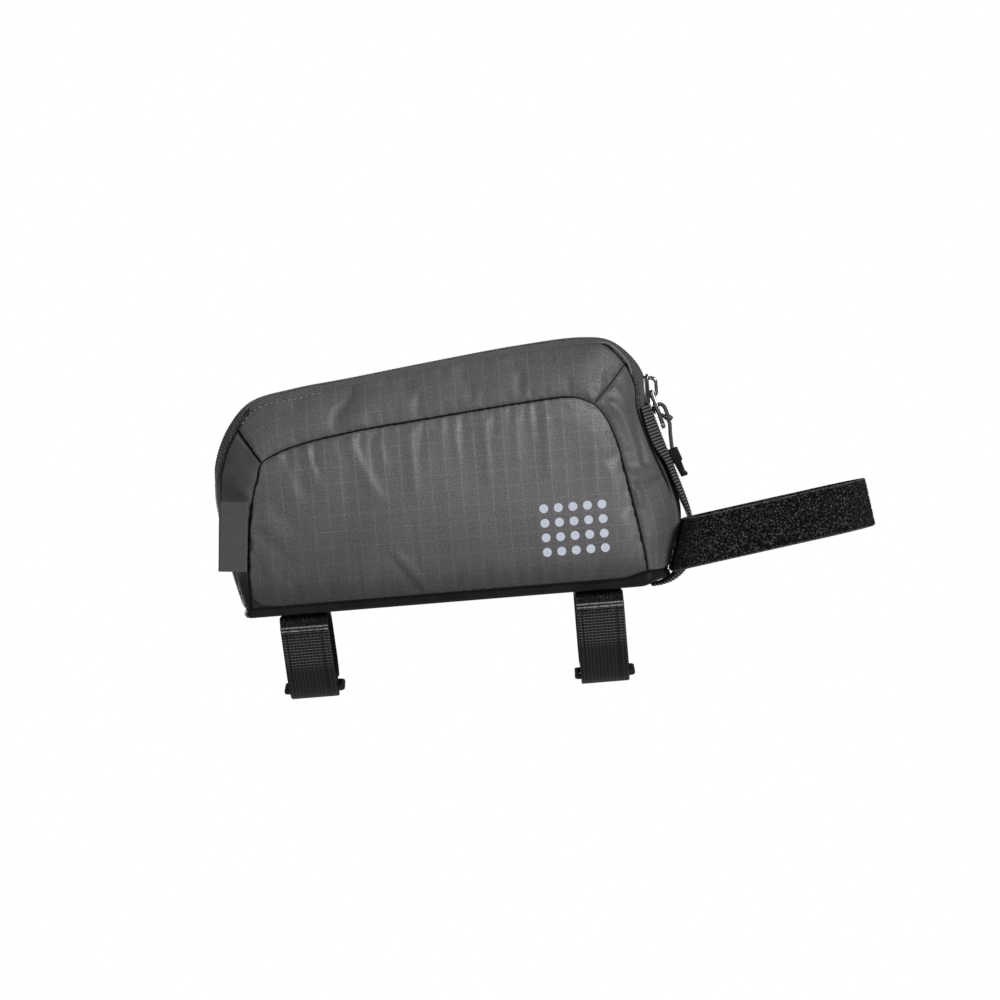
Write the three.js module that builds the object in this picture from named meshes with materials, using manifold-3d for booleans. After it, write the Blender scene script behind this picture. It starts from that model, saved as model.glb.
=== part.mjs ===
// Top tube bag: a soft zipped pouch with a stiffened base, held by two straps below and one strap at its nose.
// Millimetres. +X points forward, +Y to the left and +Z up.
// The origin is the middle of the base's underside, which is where the bag is seated.
import * as THREE from "three";
import { mergeVertices } from "three/addons/utils/BufferGeometryUtils.js";
import Module from "manifold-3d";

const wasm = await Module();
wasm.setup();

// Driving dimensions
const WALL = 2; // padded cloth of the body
const SEAM = 0.3; // gap between neighbouring pieces
const SIDE_STEPS = { along: 18, up: 8 }; // facets of a side panel, which the base's rim shares
const SIDE_CROWN = 2.2; // how far a side panel swells past its seams
const BAND_CROWN = 0.9; // the same for the bevelled bands
const BASE = { floor: 2.2, rim: 3.4, toeRise: 2.6, toeStart: 68, toeEnd: 82, rimWall: 2.4, edge: 1.4 };
const WEBBING = { width: 20, thick: 1.2, layerGap: 0.4 };
const LOOP = { halfWidth: 19.7, topRadius: 6, bottomRadius: 8, foldRadius: 2.7, sewnFrom: 3, endBelowBase: 6.4 };
const RING = { length: 25.4, bar: 2.2, inside: 20.8, pitch: 9.5, rise: 2.2, nearBarY: -8.5, corner: 1.2 };
const RING_STRAP = { foldRadius: 2.2, doubled: 10 };
const NOSE_STRAP = {
  width: 20,
  thick: 1.8,
  tilt: 8,
  backHalf: 12,
  bend: 9,
  straight: 45.3,
  lapGap: 0.4,
  lapStart: 30,
  lapEnd: 44.5,
  stepOut: { from: -4, rise: [2, 4], to: { x: 9, y: 19.6 } },
};
const NOSE_STRAP_SEAT = { x: 99, z: 16.5, drawIn: 9.2, drawReach: 35 };
const KEEPER = { width: 17, thick: 1.2 };
const LABEL = { width: 11.2, height: 29, thick: 1, lean: 5.5, splay: 6, seamX: -85.1, seamY: 23.9, midZ: 34 };
const SLIDER = { faceX: 87.35, plate: 1.3, length: 11.3, width: 8, midZ: 82.5 };
const BAIL = { height: 3.7, halfLength: 4.6, wire: 1.25, width: 2.2 };
const PULL = {
  length: 16.4,
  width: 6,
  thick: 1.2,
  tilt: 15,
  bar: 1.1,
  corner: 1,
  eyeLength: 3.4,
  eyeWidth: 3.2,
  cordHole: 1.35, // radius
  cordHoleDrop: 6.1, // from the axis to the hole's middle
};
const PULL_AXIS = { x: 88.45, z: 80.8 };
const CORD_DIAMETER = 1.7;
const GRIP = { width: 5, topX: 94.9, topZ: 56.2, tilt: 18, edge: 0.5 };

const UP = new THREE.Vector3(0, 0, 1);
const LEFT = new THREE.Vector3(0, 1, 0);
const RIGHT = new THREE.Vector3(0, -1, 0);
const radians = THREE.MathUtils.degToRad;

// Sections of the right half, from the rear foot up over the top and down to the front foot.
// side: seam round the flat side panel. shoulder: seam at the edge of the middle strip. Both are [x, half width, z].
// ridge: the middle line, [x, z].
const SECTIONS = [
  { name: "rear foot", side: [-86.0, 22.4, 3.7], shoulder: [-88.6, 10.6, 3.7], ridge: [-89.6, 3.7] },
  { name: "rear low", side: [-85.6, 23.2, 19.0], shoulder: [-91.4, 10.5, 18.6], ridge: [-93.2, 18.4] },
  { name: "rear middle", side: [-84.0, 23.6, 34.0], shoulder: [-94.2, 10.2, 37.0], ridge: [-96.4, 37.6] },
  { name: "rear high", side: [-81.3, 23.6, 48.5], shoulder: [-95.3, 9.8, 53.0], ridge: [-97.8, 53.4] },
  { name: "rear neck", side: [-78.6, 23.4, 57.0], shoulder: [-92.6, 9.8, 67.0], ridge: [-95.5, 67.6] },
  { name: "rear mitre", side: [-76.1, 23.2, 63.6], shoulder: [-86.1, 10.4, 78.8], ridge: [-89.2, 80.4] },
  { name: "top heel", side: [-69.2, 23.2, 67.3], shoulder: [-77.6, 11.6, 87.4], ridge: [-79.8, 89.5] },
  { name: "top rear", side: [-60.0, 23.5, 70.1], shoulder: [-60.5, 12.7, 90.6], ridge: [-61.5, 93.6] },
  { name: "top quarter", side: [-37.0, 24.0, 73.8], shoulder: [-38.0, 13.0, 93.8], ridge: [-38.3, 96.1] },
  { name: "top middle", side: [-5.0, 24.4, 76.7], shoulder: [-5.0, 13.2, 98.2], ridge: [-5.0, 100.0] },
  { name: "top fore", side: [31.0, 24.4, 79.8], shoulder: [33.0, 13.2, 101.6], ridge: [33.0, 104.0] },
  { name: "top front", side: [51.0, 24.0, 80.9], shoulder: [60.5, 12.8, 103.0], ridge: [60.5, 105.3] },
  { name: "front brow", side: [57.0, 23.8, 79.9], shoulder: [70.4, 12.0, 102.0], ridge: [72.0, 103.2] },
  { name: "front mitre", side: [62.8, 23.4, 76.7], shoulder: [78.4, 10.8, 93.2], ridge: [80.8, 95.6] },
  { name: "front high", side: [67.8, 23.0, 71.0], shoulder: [81.8, 9.6, 84.2], ridge: [85.2, 87.0] },
  { name: "front neck", side: [71.5, 22.8, 61.8], shoulder: [82.2, 9.0, 73.6], ridge: [85.2, 75.0] },
  { name: "front middle", side: [74.0, 22.8, 49.0], shoulder: [86.0, 8.6, 59.0], ridge: [89.0, 60.5] },
  { name: "front low", side: [76.6, 22.8, 34.0], shoulder: [92.4, 8.4, 40.0], ridge: [95.2, 41.4] },
  { name: "front bulge", side: [78.8, 22.6, 20.8], shoulder: [93.9, 8.4, 24.8], ridge: [96.3, 26.0] },
  { name: "front toe", side: [80.0, 22.4, 12.4], shoulder: [89.9, 8.6, 12.6], ridge: [91.6, 12.6] },
  { name: "front foot", side: [80.6, 22.2, 6.3], shoulder: [88.4, 8.8, 6.3], ridge: [90.0, 6.3] },
];
const LAST = SECTIONS.length - 1;
const station = (name) => SECTIONS.findIndex((row) => row.name === name);
const REAR_MITRE = station("rear mitre");
const FRONT_MITRE = station("front mitre");
// Ends are section numbers. The chain's foot and top, and the flap's tip and gap, are shares of the strip's half width.
const ZIP = {
  rearEnd: station("rear high") + 0.35,
  frontEnd: station("front neck"),
  chain: 5.4,
  thick: 1,
  ridge: 0.5,
  chainFoot: 0.62,
  chainTop: 0.78,
};
const FLAP = {
  rearEnd: station("top heel") - 0.3,
  frontEnd: station("front brow") + 0.4,
  taper: 1,
  tip: 0.15,
  gap: 0.06,
  clearOver: { from: 1, to: 0.4 }, // the tape's edge moves clear of a flap over this stretch before the flap's end
};

// The keeper webbing down the nose: its middle line, and how far its edges fall behind that line.
const KEEPER_LINE = [
  { x: 86.4, z: 75.4, arch: 2.9 },
  { x: 88.4, z: 68.4, arch: 3.7 },
  { x: 90.6, z: 61.0, arch: 3.9 },
  { x: 93.6, z: 51.4, arch: 3.6 },
  { x: 96.6, z: 41.6, arch: 2.9 },
  { x: 98.7, z: 34.4, arch: 2.0 },
  { x: 99.8, z: 29.6, arch: 0.9 },
  { x: 100.2, z: 25.0, arch: 0.3 },
  { x: 99.8, z: 17.4, arch: 0.2 },
  { x: 98.6, z: 11.4, arch: 0.5 },
  { x: 96.5, z: 6.0, arch: 1.6 },
  { x: 93.5, z: 2.5, arch: 2.4 },
  { x: 90.7, z: 0.6, arch: 2.4 },
];

// The pull's cord in three runs that meet in its knot: the cut tail, the loop round one limb of the tab, and the drop to the grip.
const CORD_RUNS = [
  [
    { x: 96.2, y: 0.5, z: 68.6 },
    { x: 95.3, y: 0.4, z: 69.0 },
    { x: 94.4, y: 0.4, z: 69.3 },
  ],
  [
    { x: 94.1, y: -0.2, z: 70.4 },
    { x: 93.8, y: -0.5, z: 72.0 },
    { x: 93.2, y: -0.4, z: 74.0 },
    { x: 91.7, y: -0.1, z: 75.3 },
    { x: 90.0, y: 0.0, z: 74.9 },
    { x: 88.6, y: 0.6, z: 74.2 },
    { x: 88.5, y: 2.4, z: 72.8 },
    { x: 89.8, y: 4.5, z: 71.6 },
    { x: 92.4, y: 4.1, z: 70.4 },
    { x: 93.8, y: 1.7, z: 69.4 },
  ],
  [
    { x: 94.5, y: 0.4, z: 69.0 },
    { x: 94.9, y: 0.1, z: 66.6 },
    { x: 94.7, y: 0.0, z: 61.6 },
    { x: 94.9, y: 0.0, z: 56.6 },
  ],
];
const KNOT = { x: 94.3, y: 0.4, z: 69.3, radius: 1.75 };

// Rails through the sections. A rail is read by section number, and fractions lie between two sections.
const railThrough = (column) =>
  new THREE.CatmullRomCurve3(SECTIONS.map((row) => new THREE.Vector3(row[column][0], -row[column][1], row[column][2])));
const SIDE = railThrough("side");
const SHOULDER = railThrough("shoulder");
const RIDGE = new THREE.CatmullRomCurve3(SECTIONS.map((row) => new THREE.Vector3(row.ridge[0], 0, row.ridge[1])));
const onRail = (rail, k) => rail.getPoint(k / LAST);

function runOf(rail, k) {
  const step = 0.02;
  return onRail(rail, Math.min(LAST, k + step)).sub(onRail(rail, Math.max(0, k - step))).normalize();
}

const normalOf = (run, across) => new THREE.Vector3().crossVectors(run, across).normalize();

// A seam point moved inwards so that the walls on both sides of the seam keep their thickness and meet on a mitre.
function mitred(point, firstNormal, secondNormal, depth) {
  const middle = firstNormal.clone().add(secondNormal).normalize();
  return point.clone().addScaledVector(middle, -depth / middle.dot(firstNormal));
}

// The three seam points of a section at a depth below the outer face, with the band's outward normal.
function sectionAt(k, depth) {
  const side = onRail(SIDE, k);
  const shoulder = onRail(SHOULDER, k);
  const ridge = onRail(RIDGE, k);
  const run = runOf(SHOULDER, k);
  const band = normalOf(run, shoulder.clone().sub(side));
  const strip = normalOf(run, ridge.clone().sub(shoulder));
  const crest = normalOf(runOf(RIDGE, k), LEFT);
  return {
    side: mitred(side, RIGHT, band, depth),
    shoulder: mitred(shoulder, band, strip, depth),
    ridge: mitred(ridge, crest, crest, depth),
    band,
  };
}

function rimHeight(x) {
  return BASE.rim + BASE.toeRise * THREE.MathUtils.smoothstep(x, BASE.toeStart, BASE.toeEnd);
}

// The walls stand on the base's rim, so no point of them is lower.
const aboveRim = (point) => point.setZ(Math.max(point.z, rimHeight(point.x) + SEAM));

// A bevelled band: w runs from the side seam to the shoulder seam.
function bandPoint(k, w, depth) {
  const section = sectionAt(k, depth);
  const point = section.side.clone().lerp(section.shoulder, w);
  return aboveRim(point.addScaledVector(section.band, BAND_CROWN * 4 * w * (1 - w)));
}

// The middle strip: w runs from the right shoulder seam, at 0, over the ridge, at 1, to the left one, at 2.
function stripPoint(k, w, depth) {
  const { shoulder, ridge } = sectionAt(k, depth);
  const away = Math.abs(1 - w);
  const rise = 1 - away * away;
  const point = shoulder.clone().lerp(ridge, rise);
  point.y = shoulder.y * (1 - w);
  return aboveRim(point);
}

// Section numbers spaced evenly by length along the side seam between two sections.
function evenlyAlong(from, to) {
  const samples = 60;
  const numbers = Array.from({ length: samples + 1 }, (_, i) => from + ((to - from) * i) / samples);
  const lengths = [0];
  for (let i = 1; i <= samples; i++) {
    lengths.push(lengths[i - 1] + onRail(SIDE, numbers[i]).distanceTo(onRail(SIDE, numbers[i - 1])));
  }
  return (share) => {
    const wanted = share * lengths[samples];
    const i = Math.max(1, lengths.findIndex((length) => length >= wanted - 1e-9));
    const part = (wanted - lengths[i - 1]) / (lengths[i] - lengths[i - 1]);
    return numbers[i - 1] + part * (numbers[i] - numbers[i - 1]);
  };
}
const upRear = evenlyAlong(0, REAR_MITRE);
const alongTop = evenlyAlong(REAR_MITRE, FRONT_MITRE);
const upFront = evenlyAlong(LAST, FRONT_MITRE);

// The side panel: u runs from rear to front and v from the base to the top seam, blended from its four edges.
function sidePoint(u, v, depth) {
  const seam = (k) => sectionAt(k, depth).side;
  const foot = (share) => {
    const point = seam(0).lerp(seam(LAST), share);
    return point.setZ(rimHeight(point.x) + SEAM);
  };
  const point = new THREE.Vector3();
  point.addScaledVector(foot(u), 1 - v).addScaledVector(seam(alongTop(u)), v);
  point.addScaledVector(seam(upRear(v)), 1 - u).addScaledVector(seam(upFront(v)), u);
  point.addScaledVector(foot(0), -(1 - u) * (1 - v)).addScaledVector(foot(1), -u * (1 - v));
  point.addScaledVector(seam(REAR_MITRE), -(1 - u) * v).addScaledVector(seam(FRONT_MITRE), -u * v);
  const swell = Math.sqrt(16 * u * (1 - u) * v * (1 - v));
  return point.addScaledVector(RIGHT, SIDE_CROWN * swell);
}

// Share of the middle strip that a flap covers beside the zip, tapering to a tip at both ends.
function flapShare(k) {
  const { shoulder } = sectionAt(k, 0);
  const full = 1 - ZIP.chain / -shoulder.y;
  const ease =
    THREE.MathUtils.smoothstep(k, FLAP.rearEnd, FLAP.rearEnd + FLAP.taper) *
    THREE.MathUtils.smoothstep(-k, -FLAP.frontEnd, FLAP.taper - FLAP.frontEnd);
  return FLAP.tip + (full - FLAP.tip) * ease;
}

function volumeOf(positions, indices) {
  const corner = (i) => new THREE.Vector3().fromArray(positions, indices[i] * 3);
  let sum = 0;
  for (let i = 0; i < indices.length; i += 3) sum += corner(i).dot(corner(i + 1).cross(corner(i + 2)));
  return sum / 6;
}

// A closed geometry whose faces point outwards, whichever way its loops were walked.
function closedGeometry(positions, indices) {
  if (volumeOf(positions, indices) < 0) indices.reverse();
  const geometry = new THREE.BufferGeometry();
  geometry.setAttribute("position", new THREE.Float32BufferAttribute(positions, 3));
  geometry.setIndex(indices);
  geometry.computeVertexNormals();
  return geometry;
}

// Rings of equal length joined one after the other, with the first and last ring closed by a fan.
function loftGeometry(rings) {
  const count = rings[0].length;
  const positions = rings.flat().flatMap((point) => point.toArray());
  const indices = [];
  for (let r = 0; r + 1 < rings.length; r++) {
    for (let i = 0; i < count; i++) {
      const [a, b] = [r * count + i, r * count + ((i + 1) % count)];
      indices.push(a, b, b + count, a, b + count, a + count);
    }
  }
  for (const [ring, first, flip] of [
    [rings[0], 0, true],
    [rings.at(-1), (rings.length - 1) * count, false],
  ]) {
    const middle = ring.reduce((sum, point) => sum.add(point), new THREE.Vector3()).divideScalar(count);
    const hub = positions.push(...middle.toArray()) / 3 - 1;
    for (let i = 0; i < count; i++) {
      const [a, b] = [first + i, first + ((i + 1) % count)];
      indices.push(...(flip ? [hub, b, a] : [hub, a, b]));
    }
  }
  return closedGeometry(positions, indices);
}

// A wall between a surface and the same surface at a depth.
// u is [from, to, steps] and v is [from, to, steps] too, but where v starts and ends are functions of u.
const always = (value) => () => value;
function wallGeometry(surface, depth, [u0, u1, uSteps], [vFrom, vTo, vSteps]) {
  const { lerp } = THREE.MathUtils;
  const positions = [];
  for (const level of [0, depth]) {
    for (let i = 0; i <= uSteps; i++) {
      for (let j = 0; j <= vSteps; j++) {
        const u = lerp(u0, u1, i / uSteps);
        const v = lerp(vFrom(u), vTo(u), j / vSteps);
        positions.push(...surface(u, v, level).toArray());
      }
    }
  }
  const layer = (uSteps + 1) * (vSteps + 1);
  const at = (i, j, level) => level * layer + i * (vSteps + 1) + j;
  const indices = [];
  const quad = (a, b, c, d) => indices.push(a, b, c, a, c, d);
  for (let i = 0; i < uSteps; i++) {
    for (let j = 0; j < vSteps; j++) {
      quad(at(i, j, 0), at(i + 1, j, 0), at(i + 1, j + 1, 0), at(i, j + 1, 0));
      quad(at(i, j, 1), at(i, j + 1, 1), at(i + 1, j + 1, 1), at(i + 1, j, 1));
    }
    quad(at(i, 0, 0), at(i, 0, 1), at(i + 1, 0, 1), at(i + 1, 0, 0));
    quad(at(i, vSteps, 0), at(i + 1, vSteps, 0), at(i + 1, vSteps, 1), at(i, vSteps, 1));
  }
  for (let j = 0; j < vSteps; j++) {
    quad(at(0, j, 0), at(0, j + 1, 0), at(0, j + 1, 1), at(0, j, 1));
    quad(at(uSteps, j, 0), at(uSteps, j, 1), at(uSteps, j + 1, 1), at(uSteps, j + 1, 0));
  }
  return closedGeometry(positions, indices);
}

// Materials
const cloth = (color, roughness) => new THREE.MeshStandardMaterial({ color, roughness, metalness: 0 });
const RIPSTOP = cloth(0x5a595a, 0.62);
const COATED = cloth(0x2c2a2c, 0.5);
const ZIP_CLOTH = cloth(0x4a4948, 0.8);
const BLACK_WEBBING = cloth(0x1f1e1e, 0.75);
const GREY_WEBBING = cloth(0x4e4b49, 0.8);
const PILE = cloth(0x19181a, 0.95);
const LABEL_TWILL = cloth(0x494644, 0.8);
const BLACK_PLASTIC = cloth(0x131313, 0.45);
const GUNMETAL = new THREE.MeshStandardMaterial({ color: 0x6f6d70, roughness: 0.25, metalness: 1 });

const bag = new THREE.Group();
function add(name, geometry, material, parent = bag) {
  const mesh = new THREE.Mesh(geometry, material);
  mesh.name = name;
  parent.add(mesh);
  return mesh;
}

// A piece on the right, and its mirror image on the left.
function addPair(name, geometry, material) {
  add(`${name}_right`, geometry, material);
  add(`${name}_left`, geometry, material).scale.y = -1;
}

// Body panels
const halfSeam = (length) => SEAM / 2 / length;
function addSidePanels() {
  const [u, v] = [halfSeam(165), halfSeam(72)];
  const along = [u, 1 - u, SIDE_STEPS.along];
  const up = [always(v), always(1 - v), SIDE_STEPS.up];
  addPair("side_panel", wallGeometry(sidePoint, WALL, along, up), RIPSTOP);
}

function addBands() {
  const w = halfSeam(22);
  const mitre = 0.02; // in section numbers, half the gap at a mitre seam
  const across = [always(w), always(1 - w), 4];
  const rear = wallGeometry(bandPoint, WALL, [0, REAR_MITRE - mitre, 12], across);
  const top = wallGeometry(bandPoint, WALL, [REAR_MITRE + mitre, FRONT_MITRE - mitre, 22], across);
  const front = wallGeometry(bandPoint, WALL, [FRONT_MITRE + mitre, LAST, 14], across);
  addPair("rear_band", rear, COATED);
  addPair("top_band", top, RIPSTOP);
  addPair("front_band", front, RIPSTOP);
}

function addMiddleStrips() {
  const w = halfSeam(10);
  const end = 0.02; // in section numbers, half the gap where a strip meets the zip
  const whole = [always(w), always(2 - w), 8];
  add("rear_strip", wallGeometry(stripPoint, WALL, [0, ZIP.rearEnd - end, 9], whole), COATED);
  add("front_strip", wallGeometry(stripPoint, WALL, [ZIP.frontEnd + end, LAST, 12], whole), RIPSTOP);
  const flap = wallGeometry(stripPoint, WALL, [FLAP.rearEnd, FLAP.frontEnd, 26], [always(w), flapShare, 2]);
  addPair("zip_flap", flap, RIPSTOP);
}

// The zip tape has a raised chain beside the middle line, and lies beside the flap where there is one.
function addZipTapes() {
  const { smoothstep } = THREE.MathUtils;
  const w = halfSeam(10);
  const end = 0.02;
  const { rearEnd, frontEnd, clearOver } = FLAP;
  const besideFlap = (k) =>
    smoothstep(k, rearEnd - clearOver.from, rearEnd - clearOver.to) *
    smoothstep(-k, -frontEnd - clearOver.from, -frontEnd - clearOver.to);
  const edge = (k) => w + (flapShare(k) + FLAP.gap - w) * besideFlap(k);
  const surface = (k, share, depth) => {
    const raised = depth === 0 ? ZIP.ridge * smoothstep(share, ZIP.chainFoot, ZIP.chainTop) : 0;
    return stripPoint(k, share, depth - raised);
  };
  const long = [ZIP.rearEnd + end, ZIP.frontEnd - end, 32];
  addPair("zip_tape", wallGeometry(surface, ZIP.thick, long, [edge, always(1 - w), 4]), ZIP_CLOTH);
}

// The base is a shallow tray whose rim carries the walls.
function footprint() {
  const right = [];
  for (let w = 1; w > 0; w -= 0.25) right.push(stripPoint(0, w, 0));
  for (let w = 1; w > 0; w -= 0.25) right.push(bandPoint(0, w, 0));
  for (let i = 0; i < SIDE_STEPS.along; i++) right.push(sidePoint(i / SIDE_STEPS.along, 0, 0));
  for (let w = 0; w < 1; w += 0.25) right.push(bandPoint(LAST, w, 0));
  for (let w = 0; w <= 1; w += 0.25) right.push(stripPoint(LAST, w, 0));
  const left = right.slice(1, -1).reverse();
  return [...right, ...left.map((point) => point.clone().multiply(new THREE.Vector3(1, -1, 1)))];
}

function addBase() {
  const outline = footprint();
  const count = outline.length;
  const inset = (distance, height) =>
    outline.map((point, i) => {
      const before = outline[(i + count - 1) % count];
      const after = outline[(i + 1) % count];
      const inward = new THREE.Vector3().crossVectors(UP, after.clone().sub(before).setZ(0)).normalize();
      return point.clone().addScaledVector(inward, distance).setZ(height(point.x));
    });
  const flat = (z) => () => z;
  const rings = [
    inset(BASE.edge, flat(0)),
    inset(0.4, flat(0.5)),
    inset(0, flat(BASE.edge)),
    inset(0, rimHeight),
    inset(BASE.rimWall, rimHeight),
    inset(BASE.rimWall + 0.4, flat(BASE.floor)),
  ];
  add("base_panel", loftGeometry(rings), COATED);
}

// A strap's side profile: a route drawn on a plane, given its thickness.
function ribbonShape(route, thick) {
  const count = route.length;
  const edge = (side) =>
    route.map((point, i) => {
      const before = route[Math.max(0, i - 1)];
      const after = route[Math.min(count - 1, i + 1)];
      const run = after.clone().sub(before).normalize();
      return new THREE.Vector2(point.x - run.y * side, point.y + run.x * side);
    });
  return new THREE.Shape([...edge(thick / 2), ...edge(-thick / 2).reverse()]);
}

// The points of a path, without the repeats where a line meets an arc.
function routePoints(path, arcSteps) {
  const points = path.getPoints(arcSteps);
  return points.filter((point, i) => i === 0 || point.distanceTo(points[i - 1]) > 0.05);
}

const extruded = (shape, depth, bevel = 0) =>
  new THREE.ExtrudeGeometry(shape, {
    depth: depth - 2 * bevel,
    steps: 1,
    curveSegments: 3,
    bevelEnabled: bevel > 0,
    bevelThickness: bevel,
    bevelSize: bevel,
    bevelOffset: -bevel,
    bevelSegments: 1,
  }).translate(0, 0, bevel - depth / 2);

// Turns a profile drawn in y and z into a piece that is wide along x.
const ACROSS = new THREE.Matrix4().makeBasis(LEFT, UP, new THREE.Vector3(1, 0, 0));
// Turns a profile drawn in x and z into a piece that is wide along y.
const FACING = new THREE.Matrix4().makeBasis(new THREE.Vector3(1, 0, 0), UP, RIGHT);

const HALF_TURN = Math.PI;
const QUARTER = Math.PI / 2;

// One strap below the base: long webbing that goes through a ring and back up, and short webbing that holds the ring.
const BASE_STRAPS = [
  { name: "front", x: 59, lowest: 39, lean: 0 },
  { name: "rear", x: -64.3, lowest: 35.6, lean: 0.06 },
];

function addBaseStrap({ name, x, lowest, lean }) {
  const { halfWidth, topRadius, bottomRadius, foldRadius } = LOOP;
  const half = WEBBING.thick / 2;
  const topZ = -SEAM - half;
  const nearBar = { y: RING.nearBarY, z: half + foldRadius - lowest };
  const farBar = { y: nearBar.y + RING.pitch, z: nearBar.z + RING.rise };
  const outerHalf = halfWidth + WEBBING.thick + WEBBING.layerGap;
  const outerRadius = outerHalf + nearBar.y - 0.5;

  const slant = new THREE.Matrix4().makeShear(0, 0, 0, 0, -lean, 0);

  const long = new THREE.Path();
  const bottom = nearBar.z + foldRadius;
  long.moveTo(-LOOP.sewnFrom, topZ);
  long.absarc(topRadius - halfWidth, topZ - topRadius, topRadius, QUARTER, HALF_TURN, false);
  long.absarc(bottomRadius - halfWidth, bottom + bottomRadius, bottomRadius, HALF_TURN, 3 * QUARTER, false);
  long.absarc(nearBar.y, nearBar.z, foldRadius, QUARTER, -QUARTER, true);
  const returnZ = nearBar.z - foldRadius + outerRadius;
  long.absarc(outerRadius - outerHalf, returnZ, outerRadius, 3 * QUARTER, HALF_TURN, true);
  long.lineTo(-outerHalf, -LOOP.endBelowBase);

  const short = new THREE.Path();
  const farBottom = farBar.z + RING_STRAP.foldRadius;
  short.moveTo(LOOP.sewnFrom, topZ);
  short.absarc(halfWidth - topRadius, topZ - topRadius, topRadius, QUARTER, 0, true);
  short.absarc(halfWidth - bottomRadius, farBottom + bottomRadius, bottomRadius, 0, -QUARTER, true);
  short.absarc(farBar.y, farBar.z, RING_STRAP.foldRadius, QUARTER, 3 * QUARTER, false);
  short.lineTo(farBar.y + RING_STRAP.doubled, farBar.z - RING_STRAP.foldRadius);

  for (const [kind, path] of [
    ["base_strap", long],
    ["ring_strap", short],
  ]) {
    const profile = ribbonShape(routePoints(path, 5), WEBBING.thick);
    const geometry = extruded(profile, WEBBING.width).applyMatrix4(ACROSS).applyMatrix4(slant);
    add(`${kind}_${name}`, geometry, BLACK_WEBBING).position.x = x;
  }

  const slope = new THREE.Vector2(RING.pitch, RING.rise);
  const ring = add(`strap_ring_${name}`, extruded(ringShape(slope.length()), RING.bar, 0.3), BLACK_PLASTIC);
  const middleZ = nearBar.z + RING.rise / 2;
  ring.position.set(x - lean * middleZ, nearBar.y + RING.pitch / 2, middleZ);
  ring.rotation.x = slope.angle();
}

function roundedRectangle(target, width, height, radius, middleY = 0) {
  const x = width / 2 - radius;
  const [low, high] = [middleY - height / 2 + radius, middleY + height / 2 - radius];
  target.absarc(x, high, radius, 0, QUARTER, false);
  target.absarc(-x, high, radius, QUARTER, HALF_TURN, false);
  target.absarc(-x, low, radius, HALF_TURN, 3 * QUARTER, false);
  target.absarc(x, low, radius, 3 * QUARTER, 2 * HALF_TURN, false);
  target.closePath();
  return target;
}

function ringShape(pitch) {
  const shape = roundedRectangle(new THREE.Shape(), RING.length, pitch + RING.bar, RING.corner + 0.8);
  shape.holes.push(roundedRectangle(new THREE.Path(), RING.inside, pitch - RING.bar, RING.corner));
  return shape;
}

// Pulls the nose strap's lower edge back, because it lies against the nose, which recedes below.
function drawIn(geometry) {
  const points = geometry.attributes.position;
  for (let i = 0; i < points.count; i++) {
    const low = 0.5 - points.getZ(i) / NOSE_STRAP.width;
    const near = 1 - THREE.MathUtils.smoothstep(points.getX(i), 0, NOSE_STRAP_SEAT.drawReach);
    points.setX(i, points.getX(i) - NOSE_STRAP_SEAT.drawIn * low * near);
  }
}

// The nose strap lies in a tilted plane. It starts on the left, passes the nose and laps over its own start.
function addNoseStrap() {
  const { thick, backHalf, bend, straight, lapStart } = NOSE_STRAP;
  const half = thick / 2;
  const reach = bend + straight;
  const wide = backHalf + bend;
  const outer = wide + half;
  const inner = outer - thick - NOSE_STRAP.lapGap;
  const { from, rise, to } = NOSE_STRAP.stepOut; // where the inner layer comes out from under the lap
  const path = new THREE.Path();
  path.moveTo(lapStart, inner);
  path.lineTo(reach + from, inner);
  path.bezierCurveTo(reach + rise[0], inner, reach + rise[1], outer, reach + to.x, to.y);
  path.absarc(reach, 0, outer, Math.atan2(to.y, to.x), -QUARTER, true);
  path.absarc(bend, -backHalf, bend + half, -QUARTER, -HALF_TURN, true);
  path.absarc(bend, backHalf, bend + half, HALF_TURN, QUARTER, true);
  path.lineTo(NOSE_STRAP.lapEnd, outer);
  const profile = ribbonShape(routePoints(path, 5), thick);
  const geometry = new THREE.ExtrudeGeometry(profile, { depth: NOSE_STRAP.width, steps: 3, bevelEnabled: false });
  geometry.translate(half, 0, -NOSE_STRAP.width / 2);
  drawIn(geometry);
  const strap = add("nose_strap", geometry, PILE);
  strap.position.set(NOSE_STRAP_SEAT.x, 0, NOSE_STRAP_SEAT.z);
  strap.rotation.y = -radians(NOSE_STRAP.tilt);
}

// The keeper webbing holds the nose strap to the bag. It arches over the nose and flattens where the strap passes.
function addKeeper() {
  const column = (key) => KEEPER_LINE.map((row) => row[key]);
  const line = new THREE.CatmullRomCurve3(KEEPER_LINE.map((row) => new THREE.Vector3(row.x, 0, row.z)));
  const arches = new THREE.SplineCurve(column("arch").map((arch, i) => new THREE.Vector2(i, arch)));
  const surface = (t, w, depth) => {
    const outward = normalOf(line.getTangent(t), LEFT);
    const y = (KEEPER.width / 2) * w;
    const fall = arches.getPoint(t).y * w * w;
    return line.getPoint(t).addScaledVector(outward, KEEPER.thick / 2 - fall - depth).setY(y);
  };
  add("keeper_webbing", wallGeometry(surface, KEEPER.thick, [0, 1, 24], [always(-1), always(1), 6]), GREY_WEBBING);
}

function addLabel() {
  const shape = roundedRectangle(new THREE.Shape(), LABEL.width, LABEL.height, 0.4);
  const label = add("label_tab", extruded(shape, LABEL.thick).applyMatrix4(FACING), LABEL_TWILL);
  const splay = radians(LABEL.splay);
  label.rotation.set(0, radians(LABEL.lean), -splay, "ZYX");
  const reach = LABEL.width / 2;
  label.position.set(LABEL.seamX - reach * Math.cos(splay), reach * Math.sin(splay) - LABEL.seamY, LABEL.midZ);
}

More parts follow.
